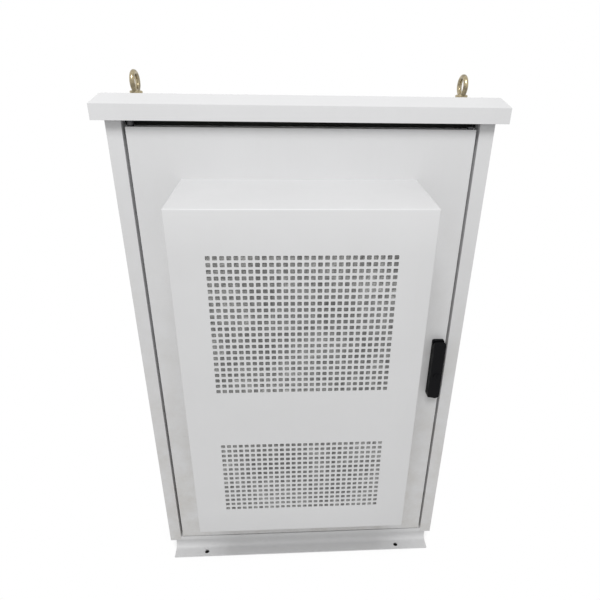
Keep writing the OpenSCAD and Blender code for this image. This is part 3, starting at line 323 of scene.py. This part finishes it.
# Yellow zinc: its near-black blotches at full share are painted reflection of dark surroundings on the shiny
# eyes
yellowLook = {
    "light": (0.47, 0.40, 0.26, 1.0), "dark": (0.30, 0.25, 0.16, 1.0), "stain": (0.05, 0.042, 0.032, 1.0),
    "stretch": (500.0, 500.0, 500.0), "crystalScale": 320.0, "stainScale": 70.0,
    "crystalShare": 0.5, "stainShare": 1.0,
    "roughLow": 0.14, "roughHigh": 0.28, "bump": 0.25, "bumpDepth": 0.00004}
phosphateLook = dict(zincLook, light=(0.10, 0.10, 0.105, 1.0), dark=(0.06, 0.06, 0.065, 1.0),
                     stain=(0.045, 0.04, 0.035, 1.0), roughLow=0.42, roughHigh=0.58)
aluminiumLook = {
    "light": (0.78, 0.79, 0.80, 1.0), "dark": (0.68, 0.69, 0.70, 1.0), "stain": (0.50, 0.49, 0.47, 1.0),
    "stretch": (60.0, 1800.0, 1800.0), "crystalScale": 90.0, "stainScale": 22.0,
    "crystalShare": 0.3, "stainShare": 0.2,
    "roughLow": 0.30, "roughHigh": 0.45, "bump": 0.2, "bumpDepth": 0.00004}
brassLook = {
    "light": (0.72, 0.50, 0.24, 1.0), "dark": (0.60, 0.41, 0.20, 1.0), "stain": (0.30, 0.20, 0.12, 1.0),
    "stretch": (40.0, 1600.0, 1600.0), "crystalScale": 120.0, "stainScale": 30.0,
    "crystalShare": 0.4, "stainShare": 0.35,
    "roughLow": 0.26, "roughHigh": 0.40, "bump": 0.2, "bumpDepth": 0.00004}
fleeceLook = {
    "deep": (0.19, 0.19, 0.188, 1.0), "strand": (0.56, 0.56, 0.55, 1.0), "soot": (0.10, 0.10, 0.097, 1.0),
    "sootShare": 0.72, "bump": 0.9, "bumpDepth": 0.0012}
finishes = {
    "coat": makeCoat("lightGreyPowderCoat", coatLook),
    "black_coat": makeCoat("satinBlackCoat", blackLook),
    "black_plastic": makeCoat("blackMouldedPlastic", dict(blackLook, roughLow=0.45, roughHigh=0.6)),
    "seal_rubber": makeCoat("foamSealRubber", rubberLook),
    "pale_plastic": makeCoat("paleMouldedPlastic", plasticLook),
    "zinc_steel": makeMetal("brightZincSteel", zincLook),
    "yellow_zinc": makeMetal("yellowZincSteel", yellowLook),
    "bare_aluminium": makeMetal("millAluminium", aluminiumLook),
    "bar_brass": makeMetal("barBrass", brassLook),
    "filter_fleece": makeFleece("filterFleece", fleeceLook)}
phosphated = makeMetal("phosphatedSteel", phosphateLook)
# Painted shade: the light grey coat with its dust mask raised to a metre and half its share, darkening
# towards the bottom
lowShadedCoat = makeCoat("weatheredPowderCoat", dict(coatLook, dustHigh=1.0, dustShare=0.5))
print("finishes made:", len(finishes) + 2)


# Mesh helpers

def linkMesh(name, mesh):
    obj = bpy.data.objects.new(name, mesh)
    bpy.context.scene.collection.objects.link(obj)
    return obj


def meshFrom(bm, name):
    mesh = bpy.data.meshes.new(name)
    bm.to_mesh(mesh)
    bm.free()
    return mesh


# Turns live modifiers into a plain mesh
def settle(obj):
    graph = bpy.context.evaluated_depsgraph_get()
    mesh = bpy.data.meshes.new_from_object(obj.evaluated_get(graph))
    obj.modifiers.clear()
    old = obj.data
    obj.data = mesh
    bpy.data.meshes.remove(old)
    return obj


# Rounds the edges of a solid and welds what the rounding pinches shut
def softenEdges(obj, width):
    bevel = obj.modifiers.new("edge", "BEVEL")
    bevel.width = width
    bevel.segments = 2
    bevel.limit_method = "ANGLE"
    bevel.angle_limit = math.radians(28.0)
    bevel.face_strength_mode = "FSTR_AFFECTED"
    weld = obj.modifiers.new("weld", "WELD")
    weld.merge_threshold = 0.003 * mm
    smooth = obj.modifiers.new("normals", "WEIGHTED_NORMAL")
    smooth.use_face_influence = True
    smooth.keep_sharp = True
    for face in obj.data.polygons:
        face.use_smooth = True
    return settle(obj)


def smoothByAngle(obj, angle=35.0):
    for face in obj.data.polygons:
        face.use_smooth = True
    obj.data.set_sharp_from_angle(angle=math.radians(angle))
    return obj


# Gives a piece its finish, its body and the CAD nodes it stands for
def dress(obj, slot, body, *nodes):
    obj.data.materials.clear()
    obj.data.materials.append(finishes[slot])
    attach(obj, body)
    if nodes:
        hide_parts(*nodes)
    return obj


def mergedCopy(node):
    bm = bmesh.new()
    bm.from_mesh(frame["nodes"][node].data)
    bmesh.ops.remove_doubles(bm, verts=bm.verts, dist=0.02 * mm)
    bmesh.ops.dissolve_limit(bm, angle_limit=math.radians(0.6), verts=bm.verts, edges=bm.edges)
    return bm


# Sheet and solid pieces keep their form and get the small radius that a fold, casting or cut edge has
edgeRadii = {
    "coat": 0.7, "zinc_steel": 0.35, "bare_aluminium": 0.25, "seal_rubber": 1.2, "black_coat": 0.9,
    "black_plastic": 0.6, "pale_plastic": 0.7, "bar_brass": 0.5, "yellow_zinc": 0.6, "filter_fleece": 1.0}
slotOf = {part["node"]: part["material_slot"] for part in frame["record"]["subparts"]}
builtByHand = {"cooling_cover", "lifting_eye_left", "lifting_eye_right",
               "cover_screws", "rear_panel_screws", "gland_plate_screws", "foot_bolts"}
# the door and the sides get painted shade that darkens them downwards, laid with the dust mask, standing for
# the shade below and beside the cooling cover
lowShadedNodes = {"door_panel", "left_side_panel", "right_side_panel"}


def camelName(node):
    first, *rest = node.split("_")
    return first + "".join(word.capitalize() for word in rest or ["unit"])


for node in sorted(set(frame["nodes"]) - builtByHand):
    slot = slotOf[node]
    piece = linkMesh(camelName(node), meshFrom(mergedCopy(node), camelName(node)))
    if "toggle" in node:
        smoothByAngle(piece)
    else:
        softenEdges(piece, edgeRadii[slot] * mm)
    dress(piece, slot, bodyOf[node], node)
    if node.startswith(("hinge_", "lock_rod_")):
        piece.data.materials[0] = phosphated
    if node in lowShadedNodes:
        piece.data.materials[0] = lowShadedCoat
print("sheet and solid pieces edged")


# Dark strip in the seal rubber finish on the top rail's stop, seen in the gap over the door: painted shade, a
# dark sheet put where the recess is in shade, corners in mm
gapShadeStripLook = {"low": (-321.0, -128.0, 1081.0), "high": (321.0, -125.0, 1091.6), "edge": 0.8}


def buildGapShadeStrip(look):
    bm = bmesh.new()
    bmesh.ops.create_cube(bm, size=1.0)
    low, high = Vector(look["low"]) * mm, Vector(look["high"]) * mm
    for vert in bm.verts:
        vert.co = [low[axis] if vert.co[axis] < 0 else high[axis] for axis in range(3)]
    strip = linkMesh("headStrip", meshFrom(bm, "headStrip"))
    softenEdges(strip, look["edge"] * mm)
    return dress(strip, "seal_rubber", "cabinet")


buildGapShadeStrip(gapShadeStripLook)


# Geometry Nodes trees

def newTree(name, inputs):
    tree = bpy.data.node_groups.new(name, "GeometryNodeTree")
    tree.interface.new_socket(name="Geometry", in_out="INPUT", socket_type="NodeSocketGeometry")
    tree.interface.new_socket(name="Geometry", in_out="OUTPUT", socket_type="NodeSocketGeometry")
    for label, kind in inputs:
        tree.interface.new_socket(name=label, in_out="INPUT", socket_type=kind)
    return tree, tree.nodes.new("NodeGroupInput"), tree.nodes.new("NodeGroupOutput")


def runTree(obj, tree, **values):
    modifier = obj.modifiers.new(tree.name, "NODES")
    modifier.node_group = tree
    for item in tree.interface.items_tree:
        if item.in_out == "INPUT" and item.name in values:
            modifier[item.identifier] = values[item.name]
    return modifier


# One cell of sheet with its hole, set on an upright grid and welded to the sheet around it
def buildPunchTree():
    tree, entry, leave = newTree("punchedField", [
        ("Cell", "NodeSocketObject"), ("Columns", "NodeSocketInt"), ("Rows", "NodeSocketInt"),
        ("Width", "NodeSocketFloat"), ("Height", "NodeSocketFloat"), ("Middle", "NodeSocketVector"),
        ("Finish", "NodeSocketMaterial")])
    grid = addNode(tree, "GeometryNodeMeshGrid", [
        ("Size X", entry.outputs["Width"]), ("Size Y", entry.outputs["Height"]),
        ("Vertices X", entry.outputs["Columns"]), ("Vertices Y", entry.outputs["Rows"])])
    upright = addNode(tree, "GeometryNodeTransform", [
        ("Geometry", grid.outputs["Mesh"]), ("Translation", entry.outputs["Middle"])],
        values={"Rotation": (math.pi / 2, 0.0, 0.0)})
    cell = addNode(tree, "GeometryNodeObjectInfo", [("Object", entry.outputs["Cell"])])
    cells = addNode(tree, "GeometryNodeInstanceOnPoints", [
        ("Points", upright.outputs["Geometry"]), ("Instance", cell.outputs["Geometry"])])
    joined = addNode(tree, "GeometryNodeJoinGeometry")
    tree.links.new(entry.outputs["Geometry"], joined.inputs[0])
    tree.links.new(cells.outputs["Instances"], joined.inputs[0])
    solid = addNode(tree, "GeometryNodeRealizeInstances", [("Geometry", joined.outputs[0])])
    welded = addNode(tree, "GeometryNodeMergeByDistance", [("Geometry", solid.outputs["Geometry"])],
                     values={"Distance": 0.00005})
    painted = addNode(tree, "GeometryNodeSetMaterial", [
        ("Geometry", welded.outputs["Geometry"]), ("Material", entry.outputs["Finish"])])
    tree.links.new(painted.outputs["Geometry"], leave.inputs["Geometry"])
    return tree


# One fastener on each point of a mesh, along the point's own aim, each turned at random
def buildFastenerTree():
    tree, entry, leave = newTree("fastenersOnPoints", [
        ("Fastener", "NodeSocketObject"), ("Seed", "NodeSocketInt"), ("Finish", "NodeSocketMaterial")])
    aim = addNode(tree, "GeometryNodeInputNamedAttribute", data_type="FLOAT_VECTOR", values={"Name": "aim"})
    along = addNode(tree, "FunctionNodeAlignRotationToVector", [("Vector", aim.outputs["Attribute"])],
                    axis="Z")
    spin = addNode(tree, "FunctionNodeRandomValue", [("Seed", entry.outputs["Seed"])], data_type="FLOAT")
    spin.inputs[3].default_value = math.tau
    turn = addNode(tree, "FunctionNodeAxisAngleToRotation", [("Angle", spin.outputs[1])],
                   values={"Axis": (0.0, 0.0, 1.0)})
    spun = addNode(tree, "FunctionNodeRotateRotation", [
        ("Rotation", along.outputs["Rotation"]), ("Rotate By", turn.outputs["Rotation"])],
        rotation_space="LOCAL")
    part = addNode(tree, "GeometryNodeObjectInfo", [("Object", entry.outputs["Fastener"])])
    placed = addNode(tree, "GeometryNodeInstanceOnPoints", [
        ("Points", entry.outputs["Geometry"]), ("Instance", part.outputs["Geometry"]),
        ("Rotation", spun.outputs["Rotation"])])
    solid = addNode(tree, "GeometryNodeRealizeInstances", [("Geometry", placed.outputs["Instances"])])
    painted = addNode(tree, "GeometryNodeSetMaterial", [
        ("Geometry", solid.outputs["Geometry"]), ("Material", entry.outputs["Finish"])])
    tree.links.new(painted.outputs["Geometry"], leave.inputs["Geometry"])
    return tree


punchTree = buildPunchTree()
fastenerTree = buildFastenerTree()

# Cooling cover: a folded box with a sloping top and two punched fields, sizes in mm
coverLook = {
    "x": -6.5, "halfWidth": 222.0, "front": -316.0, "back": -150.0,
    "low": 260.0, "frontTop": 976.0, "backTop": 989.0,
    "sheet": 1.5, "fold": 2.2, "foldSegments": 3, "columns": 28, "pitchX": 11.6, "pitchZ": 12.0,
    "hole": 8.0, "corner": 1.0, "fields": ((894.0, 23), (498.0, 15))}


def punchCell(look):
    bm = bmesh.new()
    halfX, halfZ = look["pitchX"] / 2 * mm, look["pitchZ"] / 2 * mm
    half, cut = look["hole"] / 2 * mm, look["corner"] * mm
    rim = [bm.verts.new((x, 0, z)) for x, z in (
        (-halfX, -halfZ), (halfX, -halfZ), (halfX, halfZ), (-halfX, halfZ))]
    hole = [bm.verts.new((x, 0, z)) for x, z in (
        (-half + cut, -half), (half - cut, -half), (half, -half + cut), (half, half - cut),
        (half - cut, half), (-half + cut, half), (-half, half - cut), (-half, -half + cut))]
    for side in range(4):
        after = (side + 1) % 4
        bm.faces.new((rim[side], rim[after], hole[2 * side + 1], hole[2 * side]))
        bm.faces.new((rim[after], hole[(2 * side + 2) % 8], hole[2 * side + 1]))
    return linkMesh("punchCell", meshFrom(bm, "punchCell"))


def buildCover(look):
    shift, halfWidth, low = look["x"] * mm, look["halfWidth"] * mm, look["low"] * mm
    front, back = look["front"] * mm, look["back"] * mm
    bm = bmesh.new()
    corners = [bm.verts.new(place) for place in (
        (shift - halfWidth, front, low), (shift + halfWidth, front, low),
        (shift + halfWidth, front, look["frontTop"] * mm), (shift - halfWidth, front, look["frontTop"] * mm),
        (shift - halfWidth, back, low), (shift + halfWidth, back, low),
        (shift + halfWidth, back, look["backTop"] * mm), (shift - halfWidth, back, look["backTop"] * mm))]
    for ring in ((0, 1, 2, 3), (1, 5, 6, 2), (5, 4, 7, 6), (4, 0, 3, 7), (3, 2, 6, 7), (4, 5, 1, 0)):
        bm.faces.new([corners[index] for index in ring])
    bm.normal_update()
    folds = [edge for edge in bm.edges if min(vert.co.y for vert in edge.verts) < front + 0.0001]
    bmesh.ops.bevel(bm, geom=folds, offset=look["fold"] * mm, segments=look["foldSegments"], profile=0.5,
                    affect="EDGES")
    bmesh.ops.delete(bm, geom=[face for face in bm.faces if face.normal.y > 0.99], context="FACES_ONLY")
    # the sheet is scored along the cells' borders, so that the punched fields weld to it without a gap
    scoreX = [look["x"] + (column - look["columns"] / 2) * look["pitchX"]
              for column in range(look["columns"] + 1)]
    scoreZ = [top + look["pitchZ"] * (0.5 - row) for top, rows in look["fields"] for row in range(rows + 1)]
    scores = [((x * mm, 0, 0), (1, 0, 0)) for x in scoreX] + [((0, 0, z * mm), (0, 0, 1)) for z in scoreZ]
    for place, normal in scores:
        bmesh.ops.bisect_plane(bm, geom=bm.faces[:] + bm.edges[:] + bm.verts[:], dist=1e-7, plane_co=place,
                               plane_no=normal)
    punchedOut = []
    for face in bm.faces:
        middle = face.calc_center_median()
        inField = any(top + look["pitchZ"] * (0.5 - rows) < middle.z / mm < top + look["pitchZ"] * 0.5
                      for top, rows in look["fields"])
        if middle.y < front + 0.0001 and scoreX[0] < middle.x / mm < scoreX[-1] and inField:
            punchedOut.append(face)
    bmesh.ops.delete(bm, geom=punchedOut, context="FACES")
    cover = linkMesh("coolingCover", meshFrom(bm, "coolingCover"))
    cell = punchCell(look)
    for top, rows in look["fields"]:
        runTree(cover, punchTree, Cell=cell, Columns=look["columns"], Rows=rows,
                Width=(look["columns"] - 1) * look["pitchX"] * mm, Height=(rows - 1) * look["pitchZ"] * mm,
                Middle=(shift, front, (top - (rows - 1) / 2 * look["pitchZ"]) * mm), Finish=finishes["coat"])
    wall = cover.modifiers.new("sheet", "SOLIDIFY")
    wall.thickness = look["sheet"] * mm
    wall.offset = -1.0
    settle(cover)
    bpy.data.objects.remove(cell)
    smoothByAngle(cover, 40.0)
    return dress(cover, "coat", "door", "cooling_cover")


cover = buildCover(coverLook)
print("cooling cover punched:", len(cover.data.polygons), "faces")


# Boxes of the separate lumps in a CAD node
def lumps(node):
    bm = mergedCopy(node)
    left, boxes = set(bm.verts), []
    while left:
        stack, lump = [left.pop()], []
        while stack:
            vert = stack.pop()
            lump.append(vert.co.copy())
            for edge in vert.link_edges:
                other = edge.other_vert(vert)
                if other in left:
                    left.remove(other)
                    stack.append(other)
        boxes.append((Vector([min(co[axis] for co in lump) for axis in range(3)]),
                      Vector([max(co[axis] for co in lump) for axis in range(3)])))
    bm.free()
    return sorted(boxes, key=lambda box: tuple(round(value, 5) for value in box[0]))


def ring(bm, radius, height, count):
    angles = [math.tau * index / count for index in range(count)]
    return [bm.verts.new((radius * math.cos(angle), radius * math.sin(angle), height)) for angle in angles]


def bridge(bm, lower, upper):
    count = len(lower)
    for index in range(count):
        after = (index + 1) % count
        bm.faces.new((lower[index], lower[after], upper[after], upper[index]))


# Solid of revolution from a profile of radius and height in mm
def turned(bm, profile, count):
    rings = [ring(bm, radius * mm, height * mm, count) for radius, height in profile]
    for lower, upper in zip(rings, rings[1:]):
        bridge(bm, lower, upper)
    bm.faces.new(list(reversed(rings[0])))
    bm.faces.new(rings[-1])
    return rings


# Domed screw with a cross recess, head on z = 0 and looking up
def crossScrew(name, headWide, headHigh, shankWide, shankLong):
    bm = bmesh.new()
    r = headWide / 2
    rings = turned(bm, [(shankWide / 2, -shankLong), (shankWide / 2, 0), (r, 0), (r, headHigh * 0.35),
                        (r * 0.93, headHigh * 0.68), (r * 0.72, headHigh * 0.92), (r * 0.5, headHigh)], 24)
    bm.faces.ensure_lookup_table()
    top = next(face for face in bm.faces if set(face.verts) == set(rings[-1]))
    bmesh.ops.delete(bm, geom=[top], context="FACES_ONLY")
    slot, wide = r * 0.42 * mm, r * 0.13 * mm
    outline = []
    for quarter in range(4):
        turn = Matrix.Rotation(quarter * math.pi / 2, 3, "Z")
        outline += [turn @ Vector(place) for place in ((slot, -wide, 0), (slot, wide, 0), (wide, wide, 0))]
    rim = [bm.verts.new((co.x, co.y, headHigh * mm)) for co in outline]
    deep = [bm.verts.new((co.x * 0.7, co.y * 0.7, headHigh * 0.3 * mm)) for co in outline]
    bridge(bm, deep, rim)
    bm.faces.new(list(deep))
    circle = rings[-1]
    for index in range(12):
        after = (index + 1) % 12
        arc = [circle[(2 * index + step) % 24] for step in (-1, 0, 1)]
        bm.faces.new((rim[index], *arc, rim[after]))
    bmesh.ops.recalc_face_normals(bm, faces=bm.faces)
    obj = linkMesh(name, meshFrom(bm, name))
    return smoothByAngle(obj, 30.0)


# Hexagon bolt through two sheets, with its nut below: z = 0 is the upper sheet's top
def hexBolt(name, flats, headHigh, shankWide, grip):
    bm = bmesh.new()
    r = flats / 2
    for low in (0.0, -grip - headHigh):
        turned(bm, [(r * 0.93, low), (r, low + 0.5), (r, low + headHigh - 0.6), (r * 0.9, low + headHigh)], 6)
    turned(bm, [(shankWide / 2, -grip - headHigh - 2.0), (shankWide / 2, 0.2)], 20)
    bmesh.ops.recalc_face_normals(bm, faces=bm.faces)
    obj = linkMesh(name, meshFrom(bm, name))
    return smoothByAngle(obj, 30.0)


def placeFasteners(name, fastener, seats, seed, body, *nodes):
    bm = bmesh.new()
    layer = bm.verts.layers.float_vector.new("aim")
    for place, aim in seats:
        vert = bm.verts.new(place)
        vert[layer] = aim
    obj = linkMesh(name, meshFrom(bm, name))
    runTree(obj, fastenerTree, Fastener=fastener, Seed=seed, Finish=finishes["zinc_steel"])
    settle(obj)
    bpy.data.objects.remove(fastener)
    return dress(obj, "zinc_steel", body, *nodes)


# head width, head height, shank width and shank length in mm
fastenerLook = {"cover": (9.0, 2.5, 5.0, 3.0), "rear": (9.0, 3.0, 5.0, 2.0), "gland": (9.0, 2.5, 5.0, 4.0),
                "footFlats": 13.0, "footHead": 5.0, "footShank": 8.0, "footGrip": 5.0}


# Where each head of a CAD node's fasteners sits, and its aim along x (outwards), y or z
def seatsAlong(node, axis, headHigh):
    seats = []
    for low, high in lumps(node):
        middle = (low + high) / 2
        outward = -1 if axis == 0 and middle.x < 0 else 1
        middle[axis] = high[axis] - headHigh if outward > 0 else low[axis] + headHigh
        aim = Vector((0, 0, 0))
        aim[axis] = outward
        seats.append((middle, aim))
    return seats


coverSeats = seatsAlong("cover_screws", 0, fastenerLook["cover"][1] * mm)
rearSeats = seatsAlong("rear_panel_screws", 1, fastenerLook["rear"][1] * mm)
glandSeats = seatsAlong("gland_plate_screws", 2, fastenerLook["gland"][1] * mm)
footSeats = seatsAlong("foot_bolts", 2, fastenerLook["footHead"] * mm)
coverScrew = crossScrew("coverScrew", *fastenerLook["cover"])
rearScrew = crossScrew("rearScrew", *fastenerLook["rear"])
glandScrew = crossScrew("glandScrew", *fastenerLook["gland"])
footBolt = hexBolt("footBolt", fastenerLook["footFlats"], fastenerLook["footHead"], fastenerLook["footShank"],
                   fastenerLook["footGrip"])
placeFasteners("coverScrews", coverScrew, coverSeats, 11, "door", "cover_screws")
placeFasteners("rearPanelScrews", rearScrew, rearSeats, 12, "cabinet", "rear_panel_screws")
placeFasteners("glandPlateScrews", glandScrew, glandSeats, 13, "cabinet", "gland_plate_screws")
placeFasteners("footBolts", footBolt, footSeats, 14, "cabinet", "foot_bolts")

# Screws inside: on the mounting plate's standoffs, in the rails' channels and in the bars' holes, sizes in mm
insideLook = {"plate": (12.0, 4.0, 6.0, 1.5), "rail": (9.0, 3.0, 5.0, 0.8), "bar": (7.5, 2.6, 4.0, 6.0),
              "railInset": 14.0, "railWeb": 1.0, "barHoles": 9}


def insideSeats(look):
    forward = Vector((0, -1, 0))
    plateFront = lumps("mounting_plate")[0][0].y
    plate = [(Vector(((low.x + high.x) / 2, plateFront, (low.z + high.z) / 2)), forward)
             for low, high in lumps("plate_standoffs")]
    rail, bar = [], []
    for node in ("equipment_rail_upper", "equipment_rail_lower"):
        low, high = lumps(node)[0]
        for x in (low.x + look["railInset"] * mm, high.x - look["railInset"] * mm):
            rail.append((Vector((x, high.y - look["railWeb"] * mm, (low.z + high.z) / 2)), forward))
    for node in ("neutral_bar", "earth_bar"):
        low, high = lumps(node)[0]
        step = (high.x - low.x) / (look["barHoles"] + 1)
        for count in range(1, look["barHoles"] + 1):
            bar.append((Vector((low.x + count * step, low.y, (low.z + high.z) / 2)), forward))
    return plate, rail, bar


for kind, seed, seats in zip(("plate", "rail", "bar"), (15, 16, 17), insideSeats(insideLook)):
    screw = crossScrew(kind + "Screw", *insideLook[kind])
    placeFasteners(kind + "Screws", screw, seats, seed, "cabinet")
print("fasteners placed")

# Lifting eyes: forged ring that runs into its collar, sizes in mm
eyeLook = {"ring": 45.0, "bar": 10.0, "collar": 25.0, "collarHigh": 6.0, "shank": 10.0, "shankLong": 26.0,
           "x": 330.0, "crown": 1127.09, "fall": 3.0, "turn": 2.0, "voxel": 0.7}


def buildEye(name, node, side, look):
    bm = bmesh.new()
    major, minor = (look["ring"] - look["bar"]) / 2 * mm, look["bar"] / 2 * mm
    middle = look["ring"] / 2 * mm
    loops = []
    for step in range(48):
        around = math.tau * step / 48
        loops.append([])
        for part in range(20):
            angle = math.tau * part / 20
            reach = major + minor * math.cos(angle)
            loops[-1].append(bm.verts.new((minor * math.sin(angle), reach * math.cos(around),
                                           middle + reach * math.sin(around))))
    for step in range(48):
        bridge(bm, loops[step], loops[(step + 1) % 48])
    shank, collar, collarHigh, bar = look["shank"] / 2, look["collar"] / 2, look["collarHigh"], look["bar"]
    turned(bm, [(shank, -look["shankLong"]), (shank, 0.0), (collar, 0.0), (collar, collarHigh - 1.0),
                (collar - 1.2, collarHigh), (bar * 0.72, collarHigh + 1.0), (bar * 0.5, bar * 0.85)], 40)
    bmesh.ops.recalc_face_normals(bm, faces=bm.faces)
    stand = (Matrix.Translation((side * look["x"] * mm, 0, look["crown"] * mm))
             @ Matrix.Rotation(-math.radians(look["fall"]), 4, "X")
             @ Matrix.Rotation(side * math.radians(look["turn"]), 4, "Z"))
    bmesh.ops.transform(bm, matrix=stand, verts=bm.verts)
    eye = linkMesh(name, meshFrom(bm, name))
    forged = eye.modifiers.new("forged", "REMESH")
    forged.mode = "VOXEL"
    forged.voxel_size = look["voxel"] * mm
    relaxed = eye.modifiers.new("relaxed", "SMOOTH")
    relaxed.factor = 0.5
    relaxed.iterations = 5
    settle(eye)
    smoothByAngle(eye, 70.0)
    return dress(eye, "yellow_zinc", bodyOf[node], node)


buildEye("liftingEyeLeft", "lifting_eye_left", -1, eyeLook)
buildEye("liftingEyeRight", "lifting_eye_right", 1, eyeLook)
print("lifting eyes forged")

# Studio: pale floor that runs up into white, one soft key from the upper left, the rest from all round
stageLook = {"floor": (0.82, 0.82, 0.82, 1.0), "floorPatch": (0.74, 0.74, 0.735, 1.0), "size": 30.0,
             "ambient": 0.55, "contact": 0.10, "contactShare": 0.55,
             "drilled": (255.0, 162.0), "drilledWide": 11.0}


# Rays that look at the studio itself, and so find it white
def seenWhite(tree):
    rays = addNode(tree, "ShaderNodeLightPath").outputs
    looking = maths(tree, "MAXIMUM", rays["Is Camera Ray"], rays["Is Glossy Ray"])
    return maths(tree, "MAXIMUM", looking, rays["Is Transmission Ray"])


def buildFloor(look):
    material, tree, shader, place = startMaterial("paleFloor")
    cloud = noiseAt(tree, place, 1.5, 3.0)
    tree.links.new(mixColour(tree, cloud, look["floor"], look["floorPatch"]), shader.inputs["Base Color"])
    shader.inputs["Roughness"].default_value = 0.9
    shader.inputs["Specular IOR Level"].default_value = 0.1
    # To the camera the floor glows white, dimmed by ambient occlusion near the cabinet: a painted contact
    # shadow
    openness = addNode(tree, "ShaderNodeAmbientOcclusion", samples=8, values={"Distance": look["contact"]})
    level = remap(tree, openness.outputs["AO"], 0.0, look["contactShare"])
    glow = addNode(tree, "ShaderNodeEmission", [("Strength", level)], values={"Color": (1, 1, 1, 1)})
    blend = addNode(tree, "ShaderNodeMixShader", [
        (0, seenWhite(tree)), (1, shader.outputs[0]), (2, glow.outputs[0])])
    tree.links.new(blend.outputs[0], tree.nodes["Material Output"].inputs["Surface"])
    bm = bmesh.new()
    bmesh.ops.create_grid(bm, x_segments=1, y_segments=1, size=look["size"] / 2)
    floor = linkMesh("studioFloor", meshFrom(bm, "studioFloor"))
    floor.data.materials.append(material)


# Dark discs on the floor under the four anchor holes: painted shade for the dark seen through them
def buildHoleShadeDiscs(look):
    material, tree, shader, place = startMaterial("drilledHole")
    tree.links.new(mixColour(tree, noiseAt(tree, place, 300.0, 3.0), (0.006, 0.006, 0.006, 1.0),
                             (0.014, 0.013, 0.012, 1.0)), shader.inputs["Base Color"])
    shader.inputs["Roughness"].default_value = 0.95
    shader.inputs["Specular IOR Level"].default_value = 0.05
    bm = bmesh.new()
    across, along = look["drilled"]
    for x, y in ((-across, -along), (across, -along), (across, along), (-across, along)):
        rim = ring(bm, look["drilledWide"] / 2 * mm, 0.3 * mm, 24)
        bmesh.ops.translate(bm, verts=rim, vec=Vector((x, y, 0.0)) * mm)
        bm.faces.new(rim)
    holes = linkMesh("drilledHoles", meshFrom(bm, "drilledHoles"))
    holes.data.materials.append(material)


def buildWorld(look):
    world = bpy.data.worlds.new("studio")
    bpy.context.scene.world = world
    world.use_nodes = True
    tree = world.node_tree
    shown = tree.nodes["Background"]
    shown.inputs["Color"].default_value = (1, 1, 1, 1)
    strength = remap(tree, seenWhite(tree), 0.0, 1.0, look["ambient"], 1.0)
    tree.links.new(strength, shown.inputs["Strength"])


lampLook = {"place": (-0.20, -1.90, 3.05), "target": (0.0, -0.15, 0.75), "wide": 1.1, "power": 46.0}


def softLamp(name, look):
    data = bpy.data.lights.new(name, "AREA")
    data.shape = "SQUARE"
    data.size = look["wide"]
    data.energy = look["power"]
    lamp = bpy.data.objects.new(name, data)
    bpy.context.scene.collection.objects.link(lamp)
    place, target = Vector(look["place"]), Vector(look["target"])
    lamp.location = place
    lamp.rotation_euler = (target - place).to_track_quat("-Z", "Y").to_euler()


buildFloor(stageLook)
buildHoleShadeDiscs(stageLook)
buildWorld(stageLook)
softLamp("keyPanel", lampLook)

# Camera: close and slightly above, aimed down the front
cameraLook = {"place": (-32.6, -1075.9, 1175.0), "lens": 29.34, "pitch": 25.174, "yaw": 3.509, "roll": 0.920,
              "shiftX": -0.02478}


def buildCamera(look):
    data = bpy.data.cameras.new("camera")
    data.lens = look["lens"]
    data.sensor_width = 36.0
    data.shift_x = look["shiftX"]
    data.clip_start = 0.05
    pitch, yaw, roll = (math.radians(look[key]) for key in ("pitch", "yaw", "roll"))
    ahead = Vector((math.cos(pitch) * math.sin(yaw), math.cos(pitch) * math.cos(yaw), -math.sin(pitch)))
    level = Vector((math.cos(yaw), -math.sin(yaw), 0.0))
    lift = level.cross(ahead)
    right = level * math.cos(roll) + lift * math.sin(roll)
    up = right.cross(ahead)
    camera = bpy.data.objects.new("camera", data)
    bpy.context.scene.collection.objects.link(camera)
    axes = Matrix((right, up, -ahead)).transposed().to_4x4()
    camera.matrix_world = Matrix.Translation(Vector(look["place"]) * mm) @ axes
    bpy.context.scene.camera = camera


buildCamera(cameraLook)
bpy.context.scene.view_settings.view_transform = "Standard"
print("studio set")
